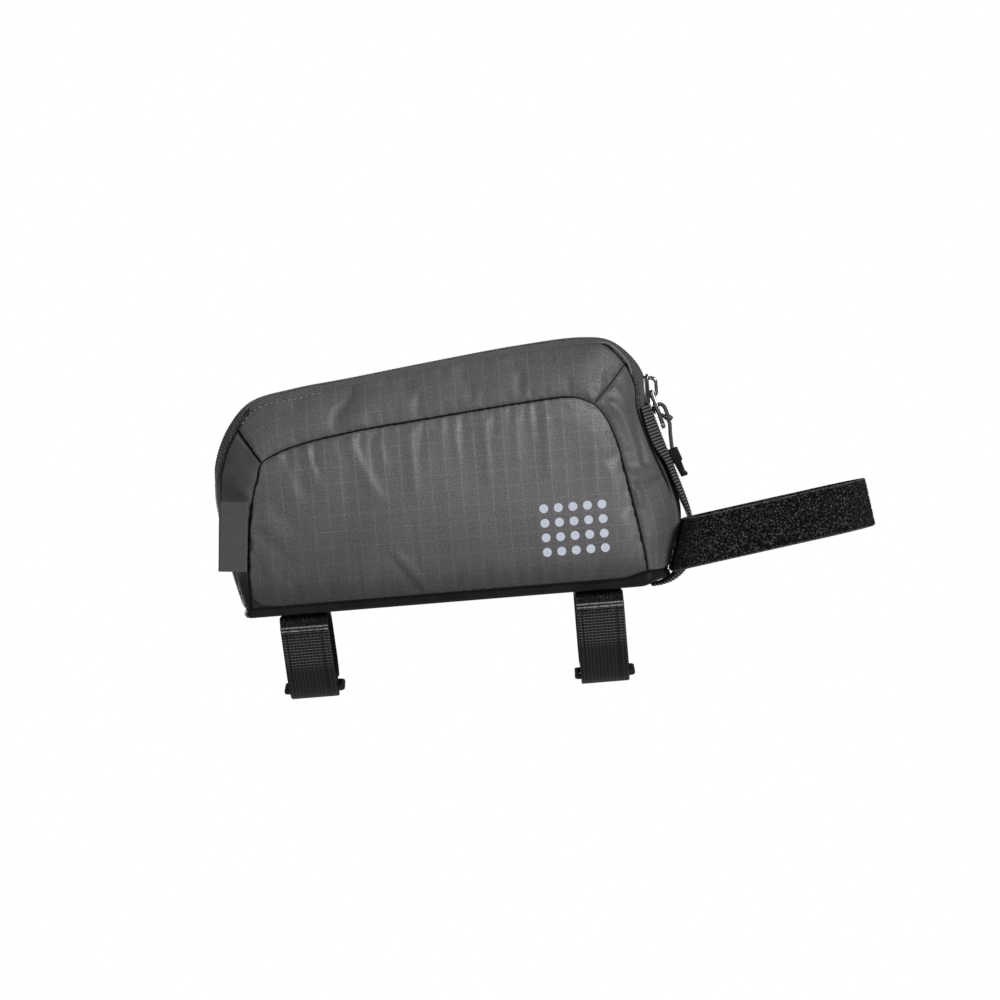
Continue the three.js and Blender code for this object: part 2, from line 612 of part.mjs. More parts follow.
function toSolid(geometry) {
  const bare = geometry.clone();
  bare.deleteAttribute("normal");
  bare.deleteAttribute("uv");
  const merged = mergeVertices(bare, 1e-4);
  const mesh = new wasm.Mesh({
    numProp: 3,
    vertProperties: merged.attributes.position.array,
    triVerts: new Uint32Array(merged.index.array),
  });
  return new wasm.Manifold(mesh);
}

function joined(...geometries) {
  const mesh = geometries.map(toSolid).reduce((sum, solid) => sum.add(solid)).getMesh();
  return closedGeometry(Array.from(mesh.vertProperties), Array.from(mesh.triVerts));
}

// The slider's plate and the bail that stands on it are one casting.
function addSlider() {
  const plateShape = new THREE.Shape();
  const [halfLength, halfWidth] = [SLIDER.length / 2, SLIDER.width / 2];
  plateShape.moveTo(-halfWidth * 0.72, -halfLength);
  plateShape.lineTo(halfWidth * 0.72, -halfLength);
  plateShape.lineTo(halfWidth, halfLength * 0.35);
  plateShape.absarc(halfWidth - 2, halfLength - 2, 2, 0, QUARTER, false);
  plateShape.absarc(2 - halfWidth, halfLength - 2, 2, QUARTER, HALF_TURN, false);
  plateShape.lineTo(-halfWidth, halfLength * 0.35);
  const plate = extruded(plateShape, SLIDER.plate, 0.25).applyMatrix4(ACROSS).translate(-SLIDER.plate / 2, 0, 0);

  const bailShape = new THREE.Shape();
  const foot = -0.4; // the bail's feet are sunk into the plate
  bailShape.moveTo(foot, -BAIL.halfLength);
  bailShape.absellipse(0, 0, BAIL.height, BAIL.halfLength, -QUARTER, QUARTER, false, 0);
  bailShape.lineTo(foot, BAIL.halfLength);
  bailShape.lineTo(foot, BAIL.halfLength - BAIL.wire);
  const [innerHeight, innerHalf] = [BAIL.height - BAIL.wire, BAIL.halfLength - BAIL.wire];
  bailShape.absellipse(0, 0, innerHeight, innerHalf, QUARTER, -QUARTER, true, 0);
  bailShape.lineTo(foot, BAIL.wire - BAIL.halfLength);
  const bail = extruded(bailShape, BAIL.width, 0.25).applyMatrix4(FACING);

  add("zip_slider", joined(plate, bail), GUNMETAL).position.set(SLIDER.faceX, 0, SLIDER.midZ);
}

// The tab hangs by a bar under the bail and turns about the middle of that bar.
function addPull() {
  const swing = new THREE.Group();
  swing.position.set(PULL_AXIS.x, 0, PULL_AXIS.z);
  swing.rotation.y = -radians(PULL.tilt);
  bag.add(swing);
  const top = PULL.bar / 2;
  const half = PULL.width / 2;
  const tip = half - PULL.length;
  const shape = new THREE.Shape();
  shape.moveTo(-half, top - PULL.corner);
  shape.lineTo(-half + PULL.corner, top);
  shape.lineTo(half - PULL.corner, top);
  shape.lineTo(half, top - PULL.corner);
  shape.lineTo(half, tip);
  shape.absarc(0, tip, half, 0, -HALF_TURN, true);
  shape.closePath();
  const eye = roundedRectangle(new THREE.Path(), PULL.eyeWidth, PULL.eyeLength, 0.6, -top - PULL.eyeLength / 2);
  const cordHole = new THREE.Path().absarc(0, -PULL.cordHoleDrop, PULL.cordHole, 0, 2 * HALF_TURN, false);
  shape.holes.push(eye, cordHole);
  add("pull_tab", extruded(shape, PULL.thick, 0.2).applyMatrix4(ACROSS), GUNMETAL, swing);
}

function addPullCord() {
  const sides = 6;
  const around = Array.from({ length: sides }, (_, i) => (i / sides) * 2 * HALF_TURN);
  const radius = CORD_DIAMETER / 2;
  const section = new THREE.Shape(around.map((a) => new THREE.Vector2(Math.cos(a), Math.sin(a)).multiplyScalar(radius)));
  const tubes = CORD_RUNS.map((run) => {
    const line = new THREE.CatmullRomCurve3(run.map(({ x, y, z }) => new THREE.Vector3(x, y, z)));
    return new THREE.ExtrudeGeometry(section, { steps: 2 * run.length, extrudePath: line, curveSegments: 1 });
  });
  const knot = new THREE.SphereGeometry(KNOT.radius, 8, 6).translate(KNOT.x, KNOT.y, KNOT.z);
  add("pull_cord", joined(...tubes, knot), GREY_WEBBING);
}

// The grip is a moulded cap with a thinner tongue below it, drawn from its top downwards.
function addGrip() {
  const outline = [
    { depth: -2.1, along: 0 },
    { depth: 2.2, along: 0 },
    { depth: 2.3, along: -6 },
    { depth: 1.6, along: -6.3 },
    { depth: 1.5, along: -10.6 },
    { depth: 2.1, along: -11.6 },
    { depth: 1.9, along: -12.8 },
    { depth: -0.9, along: -12.6 },
    { depth: -1.5, along: -6.3 },
    { depth: -2.1, along: -6 },
  ];
  const shape = new THREE.Shape(outline.map(({ depth, along }) => new THREE.Vector2(depth, along)));
  const grip = add("pull_grip", extruded(shape, GRIP.width, GRIP.edge).applyMatrix4(FACING), BLACK_PLASTIC);
  grip.position.set(GRIP.topX, 0, GRIP.topZ);
  grip.rotation.y = -radians(GRIP.tilt);
}

addBase();
addSidePanels();
addBands();
addMiddleStrips();
addZipTapes();
BASE_STRAPS.forEach(addBaseStrap);
addNoseStrap();
addKeeper();
addLabel();
addSlider();
addPull();
addPullCord();
addGrip();

export default bag;
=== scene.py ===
# %% [markdown]
# # Dressing a top tube bag
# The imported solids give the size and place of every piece. This lesson dresses them with cloth, webbing,
# pile, metal and plastic. A piece could be a smoothed copy of its solid, but cloth needs seams, puckers and a
# weave that a solid has not, so the pieces are made again from the same named lines, and each replaces its
# solid in the picture.

# %% Load the frame
import math

import bmesh
import bpy
import numpy as np
from mathutils import Matrix, Vector
from mathutils.bvhtree import BVHTree


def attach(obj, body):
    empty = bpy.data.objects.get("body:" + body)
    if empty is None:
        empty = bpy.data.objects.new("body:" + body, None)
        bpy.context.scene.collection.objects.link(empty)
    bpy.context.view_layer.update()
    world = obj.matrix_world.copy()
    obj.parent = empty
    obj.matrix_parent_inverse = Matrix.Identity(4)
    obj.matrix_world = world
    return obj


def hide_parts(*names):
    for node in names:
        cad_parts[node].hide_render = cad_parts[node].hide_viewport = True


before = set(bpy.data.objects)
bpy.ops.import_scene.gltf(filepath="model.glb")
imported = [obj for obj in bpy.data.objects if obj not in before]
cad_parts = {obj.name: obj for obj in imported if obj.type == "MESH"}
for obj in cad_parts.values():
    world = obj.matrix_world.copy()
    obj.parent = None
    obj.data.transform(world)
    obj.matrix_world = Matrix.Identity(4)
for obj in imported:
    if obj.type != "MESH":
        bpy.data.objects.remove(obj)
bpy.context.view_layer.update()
scene = bpy.context.scene
MM = 0.001

# %% [markdown]
# ## Camera
# The bag is seen square on from its right side, from so far away that it hardly has perspective. A long lens
# at 1.6 m gives that, turned a little about its own axis, because the bag's base rises to the right in the
# picture.

# %% Camera
PICTURE_WIDTH = 0.420  # metres across the picture at the bag's middle
CAMERA_DISTANCE, SENSOR_WIDTH = 1.6, 36
LOOKING_DOWN, ROLL = math.radians(0.4), math.radians(-4.65)
AIM = Vector((0.0212, 0, 0.0404))


def linked(name, data):
    """An object with this data, put in the scene."""
    made = bpy.data.objects.new(name, data)
    scene.collection.objects.link(made)
    return made


def towards_bag(place):
    """The turn of a camera or a lamp that looks at the bag's middle from a place."""
    return (AIM - place).to_track_quat("-Z", "Y").to_matrix()


camera = linked("camera", bpy.data.cameras.new("camera"))
camera.data.sensor_width = SENSOR_WIDTH
camera.data.lens = SENSOR_WIDTH * CAMERA_DISTANCE / PICTURE_WIDTH
camera.location = AIM + CAMERA_DISTANCE * Vector((0, -math.cos(LOOKING_DOWN), math.sin(LOOKING_DOWN)))
camera.rotation_euler = (towards_bag(camera.location) @ Matrix.Rotation(ROLL, 3, "Z")).to_euler()
scene.camera = camera
print("lens", round(camera.data.lens, 1))

# %% [markdown]
# ## Patterns and finishes
# A finish is a material whose pattern comes from nodes. Values that are the same all over are set on the
# shader's own sockets. The rest is built from many small nodes, which are tiresome to wire one by one, so a
# class stands for a node's output: sums and products of patterns add Math nodes, and the later cells read
# like formulas.

# %% Patterns
class Pattern:
    """A value that changes over a finish: a node's output."""

    def __init__(self, finish, socket):
        self.finish, self.socket = finish, socket

    def calc(self, operation, other=0.0):
        return self.finish.put("Math", {0: self, 1: other}, operation=operation)

    def __add__(self, other):
        return self.calc("ADD", other)

    def __sub__(self, other):
        return self.calc("SUBTRACT", other)

    def __mul__(self, other):
        return self.calc("MULTIPLY", other)

    def fade(self, start, end, at_start=0.0, at_end=1.0, kind="SMOOTHSTEP"):
        """A step from one number to another, smooth or straight, held beyond its ends."""
        keys = {"Value": self, "From Min": start, "From Max": end, "To Min": at_start, "To Max": at_end}
        return self.finish.put("MapRange", keys, interpolation_type=kind)

    def wave(self, pitch):
        return (self * (2 * math.pi / pitch)).calc("SINE")

    def zigzag(self, pitch):
        """0 on lines that lie a pitch apart, and 0.5 halfway between two lines."""
        return (self * (1 / pitch)).calc("PINGPONG", 0.5)

    def mix(self, first, second):
        return self.finish.put("MixRGB", {0: self, 1: first, 2: second})


print("patterns ready")

# %% Finishes
SOCKETS = {
    "colour": "Base Color", "roughness": "Roughness", "metallic": "Metallic", "normal": "Normal",
    "specular": "Specular IOR Level", "sheen": "Sheen Weight", "sheen_roughness": "Sheen Roughness",
    "glow": "Emission Color", "glow_strength": "Emission Strength",
}


class Finish:
    """A material. A value for it is a number, a colour or a pattern."""

    def __init__(self, name, **constants):
        self.material = bpy.data.materials.new(name)
        self.material.use_nodes = True
        self.tree = self.material.node_tree
        self.shader = self.tree.nodes["Principled BSDF"]
        self.set(**constants)

    def join(self, value, socket):
        if isinstance(value, Pattern):
            self.tree.links.new(value.socket, socket)
        else:
            socket.default_value = value

    def set(self, **values):
        for name, value in values.items():
            self.join(value, self.shader.inputs[SOCKETS[name]])

    def put(self, kind, values, output=0, **settings):
        """Adds a node and gives one of its outputs as a pattern."""
        node = self.tree.nodes.new("ShaderNode" + kind)
        for key, value in settings.items():
            setattr(node, key, value)
        for key, value in values.items():
            self.join(value, node.inputs[key])
        return Pattern(self, node.outputs[output])

    def place(self):
        """The place in the bag's frame, in metres."""
        return self.put("TexCoord", {}, "Object")

    def weave(self):
        """The place in the piece's own map, in metres along the cloth."""
        return self.put("UVMap", {}, uv_map="weave")

    def axis(self, vector, number):
        return self.put("SeparateXYZ", {0: vector}, number)

    def noise(self, vector, scale, detail=3.0):
        return self.put("TexNoise", {"Vector": vector, "Scale": scale, "Detail": detail})

    def relief(self, height, distance, strength=1.0):
        """Bump from a height of 0 to 1 that stands for a distance in metres."""
        keys = {"Height": height, "Distance": distance, "Strength": strength}
        self.set(normal=self.put("Bump", keys))


def grey(value, warm=0.0):
    return (value * (1 + warm), value, value * (1 - warm), 1)


BLACK = grey(0.0)
print("finishes ready, with", len(SOCKETS), "sockets")

# %% [markdown]
# ## Pieces
# Every piece goes through the same steps at its end: it becomes an object, rides on a body and hides its
# solid. Most pieces are sheets, so one function lays a grid on any surface and gives it a map of its weave.
# Trim and small plates come from curves, which have round bevels of their own, and are made meshes at once.

# %% From a bmesh to a piece
def thicken(piece, thickness):
    """Gives a sheet its thickness in millimetres, inwards from the face that shows."""
    solidify = piece.modifiers.new("thickness", "SOLIDIFY")
    solidify.thickness = thickness * MM
    solidify.offset = -1


def to_piece(name, bm, slot, finish, *nodes, body="bag", thickness=0.0):
    """Makes an object of a bmesh, lets it ride on a body and hides the solids that it stands for."""
    piece = linked(name, bpy.data.meshes.new(name))
    bm.to_mesh(piece.data)
    bm.free()
    piece.data.shade_smooth()
    piece.data.materials.append(finish.material)
    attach(piece, body)
    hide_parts(*nodes)
    if thickness:
        thicken(piece, thickness)
    print(name, len(piece.data.polygons), "faces")
    return piece


print("piece helpers ready")

# %% Sheets laid on a surface
INSIDE = Vector((0, 0, 0.04))


def out_of_bag(middle):
    return middle - INSIDE


def lay(name, columns, rows, place, weave, slot, finish, *nodes, outwards=out_of_bag, thickness=0.0):
    """A sheet whose faces look outwards, a function of a face's middle. place and weave take the numbers of
    columns and rows, and give points in the bag and in the sheet's own map, in millimetres."""
    bm = bmesh.new()
    bmesh.ops.create_grid(bm, x_segments=columns, y_segments=rows, size=0.5)
    flat = np.array([v.co for v in bm.verts]) + 0.5
    i, j = np.rint(flat[:, 0] * columns).astype(int), np.rint(flat[:, 1] * rows).astype(int)
    layer = bm.loops.layers.uv.new("weave")
    for vertex, point, (across, up) in zip(bm.verts, place(i, j) * MM, weave(i, j) * MM):
        vertex.co = point
        for loop in vertex.link_loops:
            loop[layer].uv = (across, up)
    bm.normal_update()
    if sum(face.normal.dot(outwards(face.calc_center_median())) for face in bm.faces) < 0:
        bmesh.ops.reverse_faces(bm, faces=bm.faces)
    return to_piece(name, bm, slot, finish, *nodes, thickness=thickness)


print("inside of the bag:", INSIDE)

# %% Curves, tubes and plates
def new_curve(name, kind, lines, closed=False, **settings):
    """A curve through lines of points in millimetres."""
    curve = bpy.data.curves.new(name, "CURVE")
    for key, value in settings.items():
        setattr(curve, key, value)
    for line in lines:
        spline = curve.splines.new(kind)
        spline.points.add(len(line) - 1)
        spline.use_cyclic_u = closed
        for point, place in zip(spline.points, np.asarray(line) * MM):
            point.co = (*place, 1)
    return curve


def meshed(curve):
    """A bmesh of a curve and its bevel, in the curve's stead."""
    holder = bpy.data.objects.new(curve.name, curve)
    mesh = bpy.data.meshes.new_from_object(holder)
    bm = bmesh.new()
    bm.from_mesh(mesh)
    bpy.data.objects.remove(holder)
    bpy.data.curves.remove(curve)
    bpy.data.meshes.remove(mesh)
    return bm


def tubes(lines, radius, sides=2):
    """A bmesh of round tubes along lines of points."""
    round_bevel = {"bevel_depth": radius * MM, "bevel_resolution": sides, "use_fill_caps": True}
    return meshed(new_curve("tubes", "POLY", lines, dimensions="3D", **round_bevel))


def cut_plate(outlines, thickness, edge):
    """A bmesh plate in the XY plane with round edges, from an outer outline and the outlines of its holes."""
    flat = [np.insert(outline, 2, 0.0, axis=1) for outline in outlines]
    filled = {"dimensions": "2D", "fill_mode": "BOTH", "extrude": (thickness / 2 - edge) * MM}
    edges = {"bevel_depth": edge * MM, "bevel_resolution": 2, "offset": -edge * MM}
    bm = meshed(new_curve("plate", "POLY", flat, closed=True, **filled, **edges))
    bmesh.ops.remove_doubles(bm, verts=bm.verts, dist=1e-6)
    bmesh.ops.recalc_face_normals(bm, faces=bm.faces)
    return bm


print("curve helpers ready")

# %% Outlines and places
# The plane of a plate in YZ, with its thickness along X, and the plane XZ, with its thickness along -Y.
UPRIGHT = Matrix(((0, 0, 1, 0), (1, 0, 0, 0), (0, 1, 0, 0), (0, 0, 0, 1)))
SIDEWAYS = Matrix(((1, 0, 0, 0), (0, 0, -1, 0), (0, 1, 0, 0), (0, 0, 0, 1)))


def arc(x, y, radius, start, end, steps=16):
    """Points of an arc, with its start and end in degrees."""
    turn = np.radians(np.linspace(start, end, steps + 1))
    return np.column_stack([x + radius * np.cos(turn), y + radius * np.sin(turn)])


def rounded(width, height, radius, x=0.0, y=0.0, steps=6):
    """The outline of a rectangle with round corners."""
    right, up = width / 2 - radius, height / 2 - radius
    corners = [(right, up, 0), (-right, up, 90), (-right, -up, 180), (right, -up, 270)]
    return np.vstack([arc(x + cx, y + cy, radius, a, a + 90, steps) for cx, cy, a in corners])


def turned(bm, *matrices):
    for matrix in matrices:
        bmesh.ops.transform(bm, matrix=matrix, verts=bm.verts)
    return bm


def moved(x, y, z):
    return Matrix.Translation(Vector((x, y, z)) * MM)


def pitched(degrees):
    """A turn about Y that swings what hangs down forwards."""
    return Matrix.Rotation(-math.radians(degrees), 4, "Y")


print("points of a rounded outline:", len(rounded(10, 10, 1)))

# %% [markdown]
# ## Metal and plastic
# The slider and its tab are cast metal with a dark, worn plating, and the grip and the strap rings are
# moulded plastic with a fine grain. Metal needs something to reflect, so most of its look comes from the
# lights; the nodes only add small differences of gloss and colour.

# %% Gunmetal and black plastic
gunmetal = Finish("gunmetal", metallic=1.0, specular=0.5)
worn = gunmetal.noise(gunmetal.place(), 2600)
gunmetal.set(colour=worn.fade(0.35, 0.7).mix(grey(0.2), grey(0.36, 0.02)))
gunmetal.set(roughness=worn.fade(0.3, 0.7, 0.13, 0.2))
gunmetal.relief(worn, 0.00001, 0.05)

black_plastic = Finish("black_plastic", specular=0.22)
grain = black_plastic.noise(black_plastic.place(), 2600)
wear_and_shade = black_plastic.noise(black_plastic.place(), 240, 2.0)
black_plastic.set(colour=wear_and_shade.mix(grey(0.004), grey(0.011)), roughness=wear_and_shade.fade(0.3, 0.7, 0.34, 0.5))
black_plastic.relief(grain, 0.00005, 0.5)
print("finishes: gunmetal, black plastic")

# %% [markdown]
# ## Cord
# A thin knotted cord lengthens the zip's pull: it goes through the tab, round one of its limbs, is tied to
# itself and ends in a small grip. It is seen from end to end, so its length is the one that shows. A curve
# with a round bevel is the plainest way to make a cord, and its braid is a pattern of slanting waves.

# %% Cord
CORD_DIAMETER, KNOT_DIAMETER = 1.7, 1.4
CORD_LINE = [
    (96.2, 0.5, 68.6), (95.4, 0.5, 69.1), (94.6, 0.2, 69.6), (94.1, -0.2, 70.5), (93.8, -0.5, 72.0),
    (93.2, -0.4, 74.0), (91.7, -0.1, 75.3), (90.0, 0.0, 74.9), (88.6, 0.6, 74.2), (88.5, 2.4, 72.8),
    (89.8, 4.5, 71.6), (92.2, 4.2, 70.4), (93.7, 2.2, 69.4), (94.6, 0.7, 68.2), (94.9, 0.1, 66.4),
    (94.8, 0.0, 64.0), (94.7, 0.0, 61.6), (95.0, 0.0, 55.9),
]
cord_finish = Finish("cord_braid", roughness=0.72, sheen=0.3)
slanting = {"Vector": cord_finish.place(), "Scale": 420.0, "Distortion": 2.0}
strands = cord_finish.put("TexWave", slanting, bands_direction="DIAGONAL")
cord_finish.set(colour=strands.mix(grey(0.022, 0.02), grey(0.09, 0.03)))
cord_finish.relief(strands, 0.00015)


def cord_curve(name, line, diameter):
    bevel = {"bevel_depth": diameter / 2 * MM, "bevel_resolution": 3, "use_fill_caps": True}
    curve = new_curve(name, "NURBS", [line], dimensions="3D", resolution_u=12, **bevel)
    curve.splines[0].use_endpoint_u = True
    curve.splines[0].order_u = 4
    curve.materials.append(cord_finish.material)
    piece = linked(name, curve)
    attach(piece, "pull")
    return piece


cord = cord_curve("cord", CORD_LINE, CORD_DIAMETER)
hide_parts("pull_cord")
KNOT, KNOT_RADII, KNOT_TURNS = (94.35, 0.5, 69.3), (1.0, 1.1), 1.6
KNOT_RISE, KNOT_MIDDLE = 0.17, 5.0  # millimetres for each radian, and the radians at the knot's middle
turns = np.linspace(0, KNOT_TURNS * 2 * math.pi, 26)
rounds = KNOT_RADII * np.column_stack([np.cos(turns), np.sin(turns)])
winding = np.column_stack([rounds, KNOT_RISE * (turns - KNOT_MIDDLE)])
knot = cord_curve("cord_knot", KNOT + winding, KNOT_DIAMETER)
print("cord points", len(CORD_LINE))

# %% [markdown]
# ## Grip, tab and slider
# These are small hard pieces, cast or moulded with rounded edges. Each starts as a flat outline: a filled
# curve with a thickness and a bevel gives the rounded edges and the holes in one step, and it is made a mesh
# before it is placed.

# %% Grip
CRISP_ANGLE = math.radians(40)
GRIP_PLACE, GRIP_PITCH, GRIP_THICKNESS = (94.9, 0, 56.2), 18, 5
GRIP_OUTLINE = [
    (-2.1, 0), (2.2, 0), (2.3, -6), (1.6, -6.3), (1.5, -10.6), (2.1, -11.6), (1.9, -12.8), (-0.9, -12.6),
    (-1.5, -6.3), (-2.1, -6),
]


def crisp(piece):
    """Keeps the edges of a hard piece sharp where its faces meet at a large angle."""
    piece.data.set_sharp_from_angle(angle=CRISP_ANGLE)
    return piece


grip_bm = cut_plate([GRIP_OUTLINE], GRIP_THICKNESS, 0.45)
corners = [e for e in grip_bm.edges if e.is_manifold and e.calc_face_angle() > 0.9]
bmesh.ops.bevel(
    grip_bm, geom=corners, offset=0.35 * MM, segments=3, profile=0.5, affect="EDGES", material=-1,
)
turned(grip_bm, SIDEWAYS, pitched(GRIP_PITCH), moved(*GRIP_PLACE))
grip = crisp(to_piece("grip", grip_bm, "black_plastic", black_plastic, "pull_grip", body="pull"))

# %% Tab
PULL_AXIS, TAB_PITCH, TAB_THICKNESS = (88.45, 0, 80.8), 15, 1.9
TAB_SHIFT = -0.5  # from the axis to the middle of the tab's thickness
tab_outline = np.vstack([[(-3, -0.45), (-2, 0.55), (2, 0.55), (3, -0.45)], arc(0, -13.4, 3, 0, -180, 24)])
tab_holes = [rounded(3.2, 3.4, 0.6, 0, -2.25), arc(0, -6.1, 1.35, 0, 345, 23)]
tab_bm = cut_plate([tab_outline, *tab_holes], TAB_THICKNESS, 0.5)
turned(tab_bm, UPRIGHT, moved(TAB_SHIFT, 0, 0), pitched(TAB_PITCH), moved(*PULL_AXIS))
crisp(to_piece("tab", tab_bm, "gunmetal", gunmetal, "pull_tab", body="pull"))

# %% Slider
SLIDER_PLACE = (87.35, 0, 82.5)
PLATE_OUTLINE = np.vstack([
    [(-2.7, -6.9), (2.7, -6.9), (4, 2)], arc(2, 3.65, 2, 0, 90, 8), arc(-2, 3.65, 2, 90, 180, 8), [(-4, 2)],
])
BODY_OUTLINE = rounded(6.4, 12.6, 1.2, 0, -1.4)
BAIL_OUTLINE = np.vstack([
    [(-0.4, -4.6)], arc(1.1, -2, 2.6, -90, 0, 8), arc(1.1, 2, 2.6, 0, 90, 8), [(-0.4, 4.6), (-0.4, 3.1)],
    arc(0.8, 1.7, 1.4, 90, 0, 8), arc(0.8, -1.7, 1.4, 0, -90, 8), [(-0.4, -3.1)],
])


def add_to(bm, other):
    """Adds a bmesh to another one."""
    mesh = bpy.data.meshes.new("added")
    other.to_mesh(mesh)
    other.free()
    bm.from_mesh(mesh)
    bpy.data.meshes.remove(mesh)


slider_bm = turned(cut_plate([PLATE_OUTLINE], 1.3, 0.5), UPRIGHT, moved(-0.65, 0, 0))
add_to(slider_bm, turned(cut_plate([BODY_OUTLINE], 2.0, 0.3), UPRIGHT, moved(-1.9, 0, 0)))
add_to(slider_bm, turned(cut_plate([BAIL_OUTLINE], 2.2, 0.65), SIDEWAYS))
turned(slider_bm, moved(*SLIDER_PLACE))
crisp(to_piece("slider", slider_bm, "gunmetal", gunmetal, "zip_slider"))

# %% [markdown]
# ## The lines that the panels are cut along
# A sewn bag is a set of flat pieces joined along seams, so the seams give its shape. Three lines run from the
# rear foot up over the top and down to the front foot: the side seam, the shoulder seam and the ridge. Smooth
# curves through the same sections as in the solids give every panel, and neighbours share a seam without any
# fitting.

# %% Sections
# Side seam x, half width, z; shoulder seam x, half width, z; ridge x, z. The right half has negative y.
SECTIONS = np.array([
    (-86.0, 22.4, 3.7, -88.6, 10.6, 3.7, -89.6, 3.7),
    (-85.6, 23.2, 19.0, -91.4, 10.5, 18.6, -93.2, 18.4),
    (-84.0, 23.6, 34.0, -94.2, 10.2, 37.0, -96.4, 37.6),
    (-81.3, 23.6, 48.5, -95.3, 9.8, 53.0, -97.8, 53.4),
    (-78.6, 23.4, 57.0, -92.6, 9.8, 67.0, -95.5, 67.6),
    (-76.1, 23.2, 63.6, -86.1, 10.4, 78.8, -89.2, 80.4),
    (-69.2, 23.2, 67.3, -77.6, 11.6, 87.4, -79.8, 89.5),
    (-60.0, 23.5, 70.1, -60.5, 12.7, 90.6, -61.5, 93.6),
    (-37.0, 24.0, 73.8, -38.0, 13.0, 93.8, -38.3, 96.1),
    (-5.0, 24.4, 76.7, -5.0, 13.2, 98.2, -5.0, 100.0),
    (31.0, 24.4, 79.8, 33.0, 13.2, 101.6, 33.0, 104.0),
    (51.0, 24.0, 80.9, 60.5, 12.8, 103.0, 60.5, 105.3),
    (57.0, 23.8, 79.9, 70.4, 12.0, 102.0, 72.0, 103.2),
    (62.8, 23.4, 76.7, 78.4, 10.8, 93.2, 80.8, 95.6),
    (67.8, 23.0, 71.0, 81.8, 9.6, 84.2, 85.2, 87.0),
    (71.5, 22.8, 61.8, 82.2, 9.0, 73.6, 85.2, 75.0),
    (74.0, 22.8, 49.0, 86.0, 8.6, 59.0, 89.0, 60.5),
    (76.6, 22.8, 34.0, 92.4, 8.4, 40.0, 95.2, 41.4),
    (78.8, 22.6, 20.8, 93.9, 8.4, 24.8, 96.3, 26.0),
    (80.0, 22.4, 12.4, 89.9, 8.6, 12.6, 91.6, 12.6),
    (80.6, 22.2, 6.3, 88.4, 8.8, 6.3, 90.0, 6.3),
])
LAST = len(SECTIONS) - 1
REAR_MITRE, FRONT_MITRE = 5, 13
SIDE = SECTIONS[:, 0:3] * (1, -1, 1)
SHOULDER = SECTIONS[:, 3:6] * (1, -1, 1)
RIDGE = np.insert(SECTIONS[:, 6:8], 1, 0, axis=1)
RIGHT, LEFT = np.array((0.0, -1.0, 0.0)), np.array((0.0, 1.0, 0.0))
HANDS = {"right": np.array((1, 1, 1)), "left": np.array((1, -1, 1))}  # each half, from the right one's points
print("sections:", len(SECTIONS))

# %% Rails
def unit(v):
    return v / np.linalg.norm(v, axis=-1, keepdims=True)


def lengths_along(points):
    """The distance of each point of a line from its start."""
    return np.concatenate([[0], np.cumsum(np.linalg.norm(np.diff(points, axis=0), axis=1))])


def on_rail(rail, k):
    """Points of a smooth curve through the rail's rows, by row number. Fractions lie between two rows."""
    last = len(rail) - 1
    k = np.clip(np.asarray(k, float), 0, last)
    i = np.minimum(k.astype(int), last - 1)
    longer = np.vstack([2 * rail[0] - rail[1], rail, 2 * rail[-1] - rail[-2]])
    p0, p1, p2, p3 = (longer[i + n] for n in range(4))
    pairs = ((p0, p1), (p1, p2), (p2, p3))
    d0, d1, d2 = (np.sqrt(np.linalg.norm(b - a, axis=-1, keepdims=True)) for a, b in pairs)
    t1 = d1 * ((p1 - p0) / d0 - (p2 - p0) / (d0 + d1)) + p2 - p1
    t2 = d1 * ((p3 - p2) / d2 - (p3 - p1) / (d1 + d2)) + p2 - p1
    w = (k - i)[..., None]
    return p1 + w * (t1 + w * (3 * (p2 - p1) - 2 * t1 - t2 + w * (2 * (p1 - p2) + t1 + t2)))


def run_of(rail, k):
    """The direction of a rail."""
    return unit(on_rail(rail, np.minimum(LAST, k + 0.02)) - on_rail(rail, np.maximum(0, k - 0.02)))


def evenly(rail, start, end):
    """Row numbers spaced evenly by length along a rail, as a function of the share of the way."""
    k = np.linspace(start, end, 241)
    lengths = lengths_along(on_rail(rail, k))
    return lambda share: np.interp(share * lengths[-1], lengths, k)


def spaced(route, step):
    """A route's points again, evenly spaced, with the distance along it."""
    lengths = lengths_along(route)
    along = np.linspace(0, lengths[-1], max(2, round(lengths[-1] / step)) + 1)
    return np.column_stack([np.interp(along, lengths, column) for column in route.T]), along


for rail_name, rail in (("side seam", SIDE), ("shoulder seam", SHOULDER), ("ridge", RIDGE)):
    print(rail_name, round(lengths_along(rail)[-1]), "mm")

# %% Sections at a depth
def mitred(point, first, second, depth):
    """A seam point moved inwards so that the cloth on both sides of the seam lies at that depth."""
    middle = unit(first + second)
    return point - middle * (depth / (middle * first).sum(-1))[..., None]


def section_at(k, depth):
    """The side, shoulder and ridge points of sections at a depth, and the band's outward direction."""
    side, shoulder, ridge = (on_rail(rail, k) for rail in (SIDE, SHOULDER, RIDGE))
    run = run_of(SHOULDER, k)
    band, strip = unit(np.cross(run, shoulder - side)), unit(np.cross(run, ridge - shoulder))
    crest = unit(np.cross(run_of(RIDGE, k), LEFT))
    seams = mitred(side, RIGHT, band, depth), mitred(shoulder, band, strip, depth)
    return *seams, mitred(ridge, crest, crest, depth), band


def smoothstep(x, low, high):
    t = np.clip((x - low) / (high - low), 0, 1)
    return t * t * (3 - 2 * t)


print("shoulder at the rear mitre", section_at(np.array([REAR_MITRE]), np.zeros(1))[1].round(1))

# %% Surfaces between the rails
SEAM_GAP = 0.3
SIDE_CROWN, BAND_CROWN = 2.2, 0.9
RIM, TOE_RISE = 3.4, 2.6  # height of the base's rim, and how much higher it is at the front


def rim_height(x):
    return RIM + TOE_RISE * smoothstep(x, 68, 82)


def above_rim(points):
    points[..., 2] = np.maximum(points[..., 2], rim_height(points[..., 0]) + SEAM_GAP)
    return points


